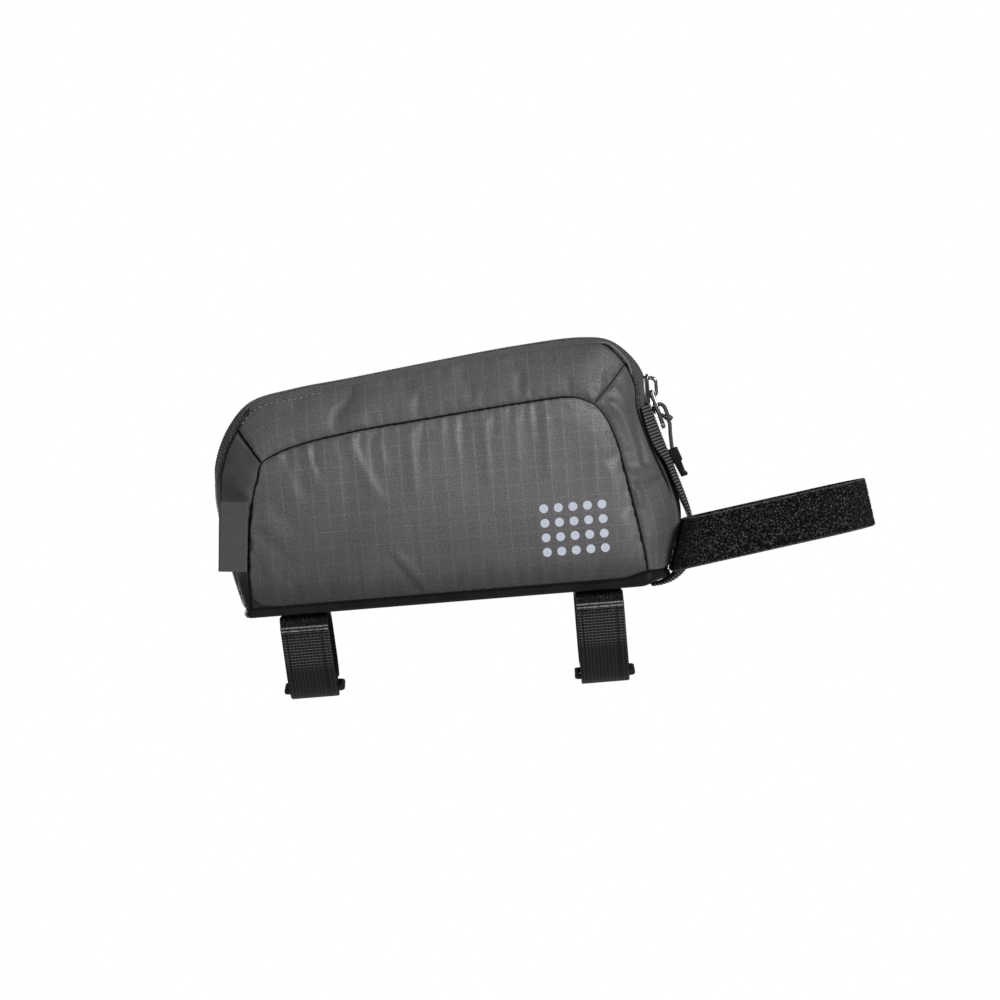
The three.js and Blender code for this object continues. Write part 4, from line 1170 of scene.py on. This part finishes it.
def tape_place(along, across):
    k = zip_k(along)
    edge, beside = tape_edge(k)
    share = edge + (0.999 - edge) * across
    under_flap = UNDER_FLAP * beside * (1 - smoothstep(share - flap_share(k), -0.02, 0.07))
    at_seam = (1 - beside) * rolled(share * 10)
    ribs = np.abs(np.sin(math.pi * ZIP_LENGTH * along / COIL_PITCH))
    coil = COIL_HEIGHT * ribs * smoothstep(1 - share, 0.02, 0.08)
    slit = SLIT_DEPTH * smoothstep(share, 0.955, 0.99)
    height = smoothstep(share, 0.62, 0.76) * (CHAIN_HEIGHT + coil) - slit
    to_end = np.minimum(along, 1 - along) * ZIP_LENGTH
    tucked = TUCK_DEPTH * (1 - smoothstep(to_end, 1.0, 1.9))
    depth = np.maximum(under_flap + at_seam, tucked) - height * smoothstep(to_end, 1.5, 9)
    return strip_point(k, share, depth)


def tape_weave(along, across):
    return np.column_stack([TAPE_WIDTH * across, ZIP_LENGTH * along])


for hand in HANDS:
    lay_strip(
        f"tape_{hand}", TAPE_ROWS, TAPE_COLUMNS, tape_place, tape_weave, zip_cloth, "zip_cloth",
        f"zip_tape_{hand}", TAPE_THICKNESS, hand,
    )

# %% [markdown]
# ## Base
# The base is a stiffened tray under the walls. It is drawn as an outline that follows the foot of the walls
# and is extruded ring by ring, from the rounded lower edge up to the rim and back down inside, so its edges
# are round without a bevel.

# %% Outline of the base
def foot_outline():
    """Points round the foot of the walls, in millimetres."""
    inward = np.linspace(1, 0, 7)[:-1]
    outward, middle = 1 - inward, np.ones(1)
    rear = [surface(0 * inward, inward, 0 * inward) for surface in (strip_point, band_point)]
    shares = np.linspace(0, 1, 81)[:-1]
    side = side_point(shares, 0 * shares, 0 * shares)
    front = [surface(LAST + 0 * outward, outward, 0 * outward) for surface in (band_point, strip_point)]
    right = np.vstack([*rear, side, *front, strip_point(LAST * middle, middle, 0 * middle)])
    return np.vstack([right, right[-2:0:-1] * HANDS["left"]])


outline = foot_outline()
ahead = np.roll(outline, -1, axis=0) - np.roll(outline, 1, axis=0)
inward = unit(np.cross((0.0, 0.0, 1.0), ahead * (1, 1, 0)))
rim = rim_height(outline[:, 0])
toe = TOE_RISE * smoothstep(outline[:, 0], 76, 90)
BASE_RINGS = [  # how far inside the outline, and the height
    (1.6, toe), (0.7, toe + 0.25), (0.2, toe + 0.8), (0, toe + 1.5), (0.05, toe + 2.1), (0.3, rim - 0.5),
    (0.9, rim), (2.4, rim), (2.8, toe + 2),
]
print("base outline:", len(outline), "points")

# %% Base
rings = [np.column_stack([(outline + inward * inset)[:, :2], z]) * MM for inset, z in BASE_RINGS]
base_bm = bmesh.new()
ring = [base_bm.verts.new(point) for point in rings[0]]
edges = [base_bm.edges.new(pair) for pair in zip(ring, ring[1:] + ring[:1])]
base_bm.faces.new(ring)
for points in rings[1:]:
    made = bmesh.ops.extrude_edge_only(base_bm, edges=edges)["geom"]
    new = {v for v in made if isinstance(v, bmesh.types.BMVert)}
    ring = [next(e.other_vert(old) for e in old.link_edges if e.other_vert(old) in new) for old in ring]
    for vertex, point in zip(ring, points):
        vertex.co = point
    edges = [e for e in made if isinstance(e, bmesh.types.BMEdge) and new.issuperset(e.verts)]
base_bm.faces.new(ring)
bmesh.ops.recalc_face_normals(base_bm, faces=base_bm.faces)
layer = base_bm.loops.layers.uv.new("weave")
for face in base_bm.faces:
    for loop in face.loops:
        loop[layer].uv = (loop.vert.co.x, loop.vert.co.y + loop.vert.co.z)
to_piece("base_tray", base_bm, "coated_cloth", base_cloth, "base_panel")

# %% [markdown]
# ## Webbing
# Webbing is woven narrow, with thick threads across that make ribs. The ribs are part of the grid here and
# not only a bump, because they show along the edges too. Their colour is painted shade in the grooves between
# them and a painted highlight on their crests. A route in a plane gives the strap's path, and the grid is
# laid along it.

# %% Webbing finishes
RIB_PITCH, KEEPER_RIB, YARN_PITCH = 1.18, 1.4, 1.5 * MM
STITCHES_OFF, STITCHES_APART = 0.6, 7.2  # the middle between two rows, off the strap's, and a row's distance
NO_STITCHES = 1000  # so far out that no row shows


def webbing_finish(name, dark, light, pitch, smooth_below, smooth_above, stitched):
    """Ribs of a pitch in millimetres, with a smoother, darker twill below a height and above another, in
    metres. Two dark lines of stitches run at a distance from the middle, in millimetres."""
    finish = Finish(name, roughness=0.7, sheen=0.03, specular=0.15)
    weave = finish.weave()
    along, across, height = finish.axis(weave, 0), finish.axis(weave, 1), finish.axis(finish.place(), 2)
    above = height.fade(smooth_below - 0.006, smooth_below)
    below = height.fade(smooth_above, smooth_above + 0.001, 1.0, 0.0)
    fuzz = finish.noise(weave, 1900)
    yarns = across.wave(YARN_PITCH).fade(-1.0, 1.0, 0.25)
    # Painted shade and highlight: the ribs' colour is dark in the grooves between them and light on their
    # crests.
    ribs = along.zigzag(pitch * MM).fade(0.3, 0.47) * (above * below) * (fuzz + 0.3)
    woven_and_rib_shade = ribs * (yarns * 0.4 + 0.6) + yarns * fuzz * 0.16
    from_stitches = ((across + STITCHES_OFF * MM).calc("ABSOLUTE") - stitched * MM).calc("ABSOLUTE")
    shade = woven_and_rib_shade * from_stitches.fade(0.0002, 0.0006, 0.15)
    finish.set(colour=shade.mix(grey(dark), grey(light, 0.03)))
    finish.relief(shade + yarns * 0.5, 0.00025, 0.9)
    return finish


black_webbing = webbing_finish("black_webbing", 0.003, 0.16, RIB_PITCH, -0.0185, -0.0072, STITCHES_APART)
grey_webbing = webbing_finish("grey_webbing", 0.005, 0.31, KEEPER_RIB, -0.05, 0.2, NO_STITCHES)
print("finishes: black webbing, grey webbing")

# %% Strap routes
# The long strap goes from under the base down to its ring, round the ring's near bar and back up outside
# itself. The short one holds the ring's far bar. Both are in y and z, and lowest is how far they hang down.
NEAR_BAR, FAR_BAR = 3.3, 5.5  # heights of the ring's two bars above the strap's lowest place


def long_route(lowest):
    near = NEAR_BAR - lowest
    return np.vstack([
        [(-3, -0.9)], arc(-13.7, -6.9, 6, 90, 180), arc(-11.7, near + 10.7, 8, 180, 270),
        arc(-8.5, near, 2.7, 90, -90), arc(-9.0, near + 9.6, 12.3, 270, 180, 24), [(-21.3, -5.0)],
    ])


def short_route(lowest):
    far = FAR_BAR - lowest
    return np.vstack([
        [(3, -0.9)], arc(13.7, -6.9, 6, 90, 0), arc(11.7, far + 10.2, 8, 0, -90), arc(1.0, far, 2.2, 90, 270),
        [(11.0, far - 2.2)],
    ])


def sideways(points):
    """The direction to the left of a route in its plane."""
    run = unit(np.gradient(points, axis=0))
    return np.column_stack([-run[:, 1], run[:, 0]])


print("points of a long route:", len(long_route(39)))

# %% Straps below the base
WEBBING_WIDTH, WEBBING_THICKNESS, RIB_HEIGHT, STITCH_DIP = 20, 1.0, 0.3, 0.16
NEAR_EDGE = np.array([0, 0.15, 0.5, 1.1, 2.2])  # distances of the columns beside an edge
FROM_EDGE = np.concatenate([NEAR_EDGE, np.linspace(4, 16, 7), WEBBING_WIDTH - NEAR_EDGE[::-1]])
STRAP_COLUMNS = FROM_EDGE - WEBBING_WIDTH / 2


def webbing(name, route, middle_x, lean, ribbed, node):
    """Lays a strap along a route. Returns a function for points on it, the route's points and distances."""
    points, along = spaced(route, RIB_PITCH / 6)
    normal, ribbed = sideways(points), ribbed(points)

    def leaning(x, y, z):
        return np.column_stack([middle_x + x - lean * z, y, z])

    def on_strap(s, x, height):
        return leaning(x, *(np.interp(s, along, points[:, n] + normal[:, n] * height) for n in (0, 1)))

    def place(i, j):
        x = STRAP_COLUMNS[i]
        thin = 0.35 * np.clip((np.abs(x) - 9.4) / 0.6, 0, 1) ** 2
        from_stitches = np.abs(x + STITCHES_OFF) - STITCHES_APART
        stitched = STITCH_DIP * np.exp(-((from_stitches / 0.35) ** 2)) * ribbed[j]
        ribs = RIB_HEIGHT * ribbed[j] * (np.abs(np.sin(math.pi * along[j] / RIB_PITCH)) - 0.7)
        height = WEBBING_THICKNESS / 2 + ribs - thin - stitched
        return leaning(x, *(points[j] + normal[j] * height[:, None]).T)

    def in_map(i, j):
        return np.column_stack([along[j], STRAP_COLUMNS[i]])

    def outwards(middle):
        nearest = np.argmin(np.abs(points - np.array(middle.yz) / MM).sum(1))
        return Vector((0, *normal[nearest]))

    lay(
        name, len(STRAP_COLUMNS) - 1, len(points) - 1, place, in_map, "black_webbing", black_webbing, node,
        outwards=outwards, thickness=WEBBING_THICKNESS,
    )
    return on_strap, points, along


def outer_layer(points):
    return smoothstep(-points[:, 0], 20, 21) * smoothstep(points[:, 1], -25, -18.5)


def everywhere(points):
    return np.ones(len(points))


STRAPS = {"front": (59, 39, 0.0), "rear": (-64.3, 35.6, 0.06)}  # middle x, how low it hangs, lean
long_straps = {}
for end, (x, lowest, lean) in STRAPS.items():
    long_name, short_name = f"long_strap_{end}", f"short_strap_{end}"
    long_straps[end] = webbing(long_name, long_route(lowest), x, lean, outer_layer, f"base_strap_{end}")
    webbing(short_name, short_route(lowest), x, lean, everywhere, f"ring_strap_{end}")

# %% Rings
BAR_THICKNESS, BARS_APART = 2.2, (9.5, FAR_BAR - NEAR_BAR)  # in y and z
RING_LENGTH, RING_OPENING = 25.4, 20.8
ring_pitch, ring_tilt = math.hypot(*BARS_APART), math.atan2(*reversed(BARS_APART))
for end, (x, lowest, lean) in STRAPS.items():
    ring_outline = rounded(RING_LENGTH, ring_pitch + BAR_THICKNESS, 2.0)
    opening = rounded(RING_OPENING, ring_pitch - BAR_THICKNESS, 1.2)
    middle_y, middle_z = -8.5 + BARS_APART[0] / 2, NEAR_BAR - lowest + BARS_APART[1] / 2
    ring_bm = cut_plate([ring_outline, opening], BAR_THICKNESS, 0.7)
    turned(ring_bm, Matrix.Rotation(ring_tilt, 4, "X"), moved(x - lean * middle_z, middle_y, middle_z))
    to_piece(f"ring_{end}", ring_bm, "black_plastic", black_plastic, f"strap_ring_{end}")

# %% [markdown]
# ## Keeper webbing
# A narrow ribbed webbing runs down the nose from the zip's end to under the base and holds the nose strap. It
# arches over the nose above and lies flat where the strap passes below.

# %% Keeper webbing
KEEPER_LINE = np.array([  # x, how far the edges fall behind the middle, z
    (86.4, 2.9, 75.4), (88.4, 3.7, 68.4), (90.6, 3.9, 61.0), (93.6, 2.5, 51.4), (96.6, 2.1, 41.6),
    (98.7, 1.6, 34.4), (99.8, 0.9, 29.6), (100.2, 0.3, 25.0), (99.8, 0.2, 17.4), (98.6, 0.5, 11.4),
    (96.5, 1.6, 6.4), (93.5, 2.0, 3.4), (90.2, 1.4, 1.5), (86.0, 0.6, 0.4), (82.0, 0.2, 0.1),
])
KEEPER_WIDTH, KEEPER_COLUMNS, KEEPER_THICKNESS, KEEPER_RIB_HEIGHT = 18.2, 16, 1.0, 0.34
KEEPER_SURFACE = 0.95  # the face's height off its line
keeper_rail = on_rail(KEEPER_LINE, np.linspace(0, len(KEEPER_LINE) - 1, 400))
keeper_points, keeper_along = spaced(keeper_rail, KEEPER_RIB / 6)
keeper_out = sideways(keeper_points[:, [0, 2]])


def keeper_place(i, j):
    w = i / KEEPER_COLUMNS * 2 - 1
    off_edge = smoothstep(1 - np.abs(w), 0, 0.1)
    ribs = KEEPER_RIB_HEIGHT * (np.abs(np.sin(math.pi * keeper_along[j] / KEEPER_RIB)) - 0.7) * off_edge
    thin = 0.3 * smoothstep(np.abs(w), 0.9, 1)
    fall = keeper_points[j, 1] + 0.9 * smoothstep(keeper_points[j, 2], 50, 60)
    height = KEEPER_SURFACE + ribs - thin - fall * w**2
    x, z = (keeper_points[j][:, [0, 2]] + keeper_out[j] * height[:, None]).T
    return np.column_stack([x, KEEPER_WIDTH / 2 * w, z])


def keeper_weave(i, j):
    return np.column_stack([keeper_along[j], KEEPER_WIDTH * i / KEEPER_COLUMNS])


def forwards(middle):
    return Vector((1, 0, 0))


lay(
    "keeper", KEEPER_COLUMNS, len(keeper_points) - 1, keeper_place, keeper_weave, "grey_webbing",
    grey_webbing, "keeper_webbing", outwards=forwards, thickness=KEEPER_THICKNESS,
)

# %% [markdown]
# ## Nose strap and its pile
# The nose strap is the soft half of a hook-and-loop tape: a woven band covered with tiny loops of yarn. A
# bump can't make its ragged outline, so thousands of small loops are scattered over a dark band, each with
# only a few faces.

# %% Nose strap band
NOSE_WIDTH, NOSE_TILT, NOSE_COLUMNS, NOSE_THICKNESS = 20, math.radians(8), 14, 1.2
NOSE_START_X, NOSE_START_Z, NOSE_SHIFT = 99, 16.5, 0.9
NOSE_SURFACE, NOSE_SLANT = 0.35, 10  # the face's height off the middle, how far the lower edge starts behind
NOSE_LOOP = Vector((0.135, 0, 0.02))  # middle of the loop
nose_route = np.vstack([
    [(30, 19.7), (50.3, 19.7), (53.8, 19.9), (57, 20.4), (60.2, 20.3)], arc(54.3, 0, 21.9, 65.3, -90, 60),
    arc(9, -12, 9.9, -90, -180), arc(9, 12, 9.9, 180, 90), [(44.5, 21.9)],
])
nose_points, nose_along = spaced(nose_route, 0.8)
nose_out = sideways(nose_points)


def on_nose_strap(s, w, height):
    """Points of the strap: s along it, w from -10 at its lower edge to 10, at a height off its middle."""
    a, y, out_a, out_y = (np.interp(s, nose_along, column) for column in (*nose_points.T, *nose_out.T))
    a, y = a + NOSE_SHIFT + out_a * height, y + out_y * height
    a = a - NOSE_SLANT * (0.5 - w / NOSE_WIDTH) * (1 - smoothstep(a, 0, 35))
    x = NOSE_START_X + a * math.cos(NOSE_TILT) - w * math.sin(NOSE_TILT)
    z = NOSE_START_Z + a * math.sin(NOSE_TILT) + w * math.cos(NOSE_TILT)
    return np.column_stack([x, y, z])


def nose_place(i, j):
    return on_nose_strap(nose_along[j], NOSE_WIDTH * (i / NOSE_COLUMNS - 0.5), NOSE_SURFACE)


def nose_weave(i, j):
    return np.column_stack([nose_along[j], NOSE_WIDTH * i / NOSE_COLUMNS])


def out_of_loop(middle):
    return middle - NOSE_LOOP


PILE = {
    "detail": 3.0, "lint_range": (0.5, 0.68), "roughness": 0.9, "sheen": 0.05, "sheen_roughness": 0.5,
    "specular": 0.1,
}
loop_pile = yarn_finish("loop_pile", grey(0.002), grey(0.085), 1500, **PILE)
lay(
    "nose_band", NOSE_COLUMNS, len(nose_points) - 1, nose_place, nose_weave, "loop_pile", loop_pile,
    "nose_strap", outwards=out_of_loop, thickness=NOSE_THICKNESS,
)

# %% Loops of yarn
def yarn_loop(radius, yarn):
    """A small upright loop of yarn: a triangle spun half the way round."""
    bm = bmesh.new()
    ring = bmesh.ops.create_circle(bm, segments=3, radius=yarn)["verts"]
    bmesh.ops.rotate(bm, verts=ring, cent=(0, 0, 0), matrix=Matrix.Rotation(math.pi / 2, 3, "X"))
    bmesh.ops.translate(bm, verts=ring, vec=(radius, 0, 0))
    bmesh.ops.spin(bm, geom=bm.edges[:], cent=(0, 0, 0), axis=(0, -1, 0), angle=math.radians(180), steps=3)
    bmesh.ops.recalc_face_normals(bm, faces=bm.faces)
    mesh = bpy.data.meshes.new("yarn_loop")
    bm.to_mesh(mesh)
    bm.free()
    return mesh


def frames_on(surface, s, w, turns, tilts, sizes):
    """Matrices that stand a loop on a strap at distances s and w, turned, tilted and sized."""
    feet, ahead, beside = surface(s, w, 0.0), surface(s + 0.2, w, 0.0), surface(s, w + 0.2, 0.0)
    along = unit(ahead - feet)
    normal = np.cross(along, beside - feet)
    up = unit(normal) * np.sign(((surface(s, w, 0.3) - feet) * normal).sum(1))[:, None]
    across = np.cross(up, along)
    for foot, x, y, z, turn, tilt, size in zip(feet * MM, along, across, up, turns, tilts, sizes):
        stand = Matrix((x, y, z)).transposed().to_4x4()
        turned_loop = Matrix.Rotation(turn, 4, "Z") @ Matrix.Rotation(tilt, 4, "X") @ Matrix.Scale(size, 4)
        yield Matrix.Translation(foot) @ stand @ turned_loop


chance = np.random.default_rng(7)
loop_mesh = yarn_loop(0.36 * MM, 0.075 * MM)


def add_loops(bm, count, surface, s_range, w_range, tilt, size_range):
    """Adds loops of yarn to a bmesh at random places of a strap."""
    ranges = (s_range, w_range, (0, 2 * math.pi), (-tilt, tilt), size_range)
    for place in frames_on(surface, *[chance.uniform(low, high, count) for low, high in ranges]):
        loop_mesh.transform(place)
        bm.from_mesh(loop_mesh)
        loop_mesh.transform(place.inverted())


print("faces of a loop:", len(loop_mesh.polygons))

# %% Pile and edges of the nose strap
NOSE_LOOPS, SELVEDGE_RADIUS = 10500, 0.42


def on_nose_face(s, w, height):
    return on_nose_strap(s, w, NOSE_SURFACE + height)


pile_bm = bmesh.new()
add_loops(pile_bm, NOSE_LOOPS, on_nose_face, (0.3, nose_along[-1] - 0.3), (-9.5, 9.7), 0.6, (0.7, 1.35))
to_piece("nose_pile", pile_bm, "loop_pile", loop_pile)
edge_s = np.linspace(1, nose_along[-1] - 1, 400)
band_edges = [on_nose_strap(edge_s, side * 9.75, 0.1) for side in (-1, 1)]
edge_yarn = yarn_finish(
    "selvedge_yarn", grey(0.01), grey(0.11), 1600, lint_range=(0.35, 0.65), roughness=0.8, specular=0.15,
)
to_piece("nose_selvedge", tubes(band_edges, SELVEDGE_RADIUS, 1), "loop_pile", edge_yarn)

# %% Pile and hems of the straps below the base
HEM_RADIUS, HEM_REACH, HEM_POINTS = 0.36, 9.7, 60
HEM_ROWS = ((0.3, 0.1), (0.45, 0.5), (1.75, 0.75))  # distance from the strap's end, and height off its middle
PILE_REACH, PILE_TILT, PILE_SIZES = (-9.6, 9.6), 0.8, (0.6, 1.15)
INNER_LOOPS, END_LOOPS, END_PILE = 760, 170, (4.4, 2.2)  # the pile's distances from the strap's end
strap_pile = yarn_finish("strap_pile", grey(0.002), grey(0.34), 1500, **PILE)
HEM = {"detail": 3.0, "lint_range": (0.3, 0.7), "roughness": 0.8, "specular": 0.3}
hem_yarn = yarn_finish("cut_hem", grey(0.07), grey(0.34, 0.03), 1500, **HEM)


def face_of(on_strap, side):
    """The outer face of a strap, for a side of 1, or its inner face, for -1."""
    return lambda s, x, height: on_strap(s, x, side * (WEBBING_THICKNESS / 2 + height))


for end, (on_strap, points, along) in long_straps.items():
    under_base = along[(points[:, 0] < -17) & (points[:, 1] > -8)]
    inner = under_base[under_base < along[-1] / 2]
    tuft_bm = bmesh.new()
    inside, at_end = (inner[0], inner[-1]), [along[-1] - back for back in END_PILE]
    for count, side, reach in ((INNER_LOOPS, -1, inside), (END_LOOPS, 1, at_end)):
        add_loops(tuft_bm, count, face_of(on_strap, side), reach, PILE_REACH, PILE_TILT, PILE_SIZES)
    to_piece(f"strap_pile_{end}", tuft_bm, "loop_pile", strap_pile)
    x = np.linspace(-HEM_REACH, HEM_REACH, HEM_POINTS)
    wave = 0.06 * np.sin(x * 5.1)
    hem = [on_strap(along[-1] - back + wave, x, height) for back, height in HEM_ROWS]
    to_piece(f"strap_hem_{end}", tubes(hem, HEM_RADIUS, 1), "black_webbing", hem_yarn)

# %% [markdown]
# ## Label
# A folded twill tab is caught in the rear seam. It stays bare. Twill shows fine slanting ribs, which come
# from a wave that runs at a slant across the tab's own map.

# %% Label twill
twill = Finish("label_twill", roughness=0.7, sheen=0.2, specular=0.3)
weave = twill.weave()
slant = twill.put("Mapping", {"Vector": weave, "Rotation": (0, 0, math.radians(-40))})
ribs, fuzz = twill.axis(slant, 0).wave(0.74 * MM).fade(-0.6, 0.9), twill.noise(weave, 2000)
twill.set(colour=(ribs * (fuzz + 0.4)).mix(grey(0.022, 0.02), grey(0.15, 0.04)))
twill.relief(ribs + fuzz, 0.00018, 0.9)
print("finish: label twill")

# %% Label
LABEL_WIDTH, LABEL_HEIGHT, LABEL_THICKNESS, LABEL_COLUMNS, LABEL_ROWS = 12, 29, 0.9, 16, 40
SPLAY, LEAN = math.radians(6), math.radians(5.5)
LABEL_SEAM, SEAM_TO_MIDDLE = np.array((-84.3, -24.2, 34.3)), 5.8
LABEL_BOW, LABEL_WAVE, LABEL_EDGE, EDGE_REACH = 0.35, 0.15, 0.3, 0.8
label_turn = np.array(Matrix.Rotation(-SPLAY, 3, "Z") @ Matrix.Rotation(LEAN, 3, "Y"))
label_middle = LABEL_SEAM + SEAM_TO_MIDDLE * np.array((-math.cos(SPLAY), math.sin(SPLAY), 0))


def label_place(i, j):
    across, up = i / LABEL_COLUMNS - 0.5, j / LABEL_ROWS - 0.5
    bow = LABEL_BOW * np.sin(np.pi * (up + 0.5)) * (across - 0.5)
    bow += LABEL_WAVE * np.sin(2.2 * np.pi * (up + 0.5))
    edge = np.minimum((0.5 - np.abs(across)) * LABEL_WIDTH, (0.5 - np.abs(up)) * LABEL_HEIGHT)
    out = -0.5 + bow + LABEL_EDGE * np.clip(1 - edge / EDGE_REACH, 0, 1) ** 2
    return np.column_stack([across * LABEL_WIDTH, out, up * LABEL_HEIGHT]) @ label_turn.T + label_middle


def label_weave(i, j):
    return np.column_stack([LABEL_WIDTH * i / LABEL_COLUMNS, LABEL_HEIGHT * j / LABEL_ROWS])


def to_right(middle):
    return Vector(RIGHT)


lay(
    "label", LABEL_COLUMNS, LABEL_ROWS, label_place, label_weave, "label_twill", twill, "label_tab",
    outwards=to_right, thickness=LABEL_THICKNESS,
)

# %% [markdown]
# ## Floor and light
# A pale round floor lies well below the bag, because the bag hangs by its straps and doesn't stand. The
# surround is white to the eye and dim as a light, so that one soft light, high at the right, draws the folds.
# A small one in front makes the metal shine, and weaker ones lift the rear and the far side.

# %% Floor
FLOOR_RADIUS, FLOOR_HEIGHT = 0.58, -0.27
pale = Finish("pale_floor", colour=grey(0.9), roughness=0.8, glow=grey(1.0), glow_strength=0.3)
floor_bm = bmesh.new()
bmesh.ops.create_circle(floor_bm, cap_ends=True, segments=96, radius=FLOOR_RADIUS)
turned(floor_bm, Matrix.Translation((0, 0, FLOOR_HEIGHT)))
floor = linked("floor", bpy.data.meshes.new("floor"))
floor_bm.to_mesh(floor.data)
floor_bm.free()
floor.data.materials.append(pale.material)
print("floor at", FLOOR_HEIGHT)

# %% Surround
AS_LIGHT, TO_THE_EYE = 0.14, 1.0
world = bpy.data.worlds.new("surround")
scene.world = world
world.use_nodes = True
tree = world.node_tree
surround = tree.nodes["Background"]
surround.inputs["Color"].default_value = grey(1.0)
seen, strength = tree.nodes.new("ShaderNodeLightPath"), tree.nodes.new("ShaderNodeMapRange")
strength.inputs["To Min"].default_value = AS_LIGHT
strength.inputs["To Max"].default_value = TO_THE_EYE
tree.links.new(seen.outputs["Is Camera Ray"], strength.inputs["Value"])
tree.links.new(strength.outputs["Result"], surround.inputs["Strength"])
print("surround:", AS_LIGHT, "as a light,", TO_THE_EYE, "to the eye")

# %% Lights
LIGHTS = {  # place and size in metres, power in watts
    "right": ((1.13, -1.12, 0.82), 0.5, 23.5),
    "front": ((0.12, -1.5, 0.2), 0.22, 0.6),
    "left": ((-1.4, -1.0, 0.3), 0.7, 6),
    "behind": ((-0.5, 1.7, 0.05), 0.8, 14),
}
for name, (place, size, power) in LIGHTS.items():
    lamp = linked(name, bpy.data.lights.new(name, "AREA"))
    lamp.data.shape = "DISK"
    lamp.data.size = size
    lamp.data.energy = power
    lamp.location = place
    lamp.visible_camera = False
    lamp.rotation_euler = towards_bag(lamp.location).to_euler()
scene.view_settings.view_transform = "Standard"
print("lights:", list(LIGHTS))
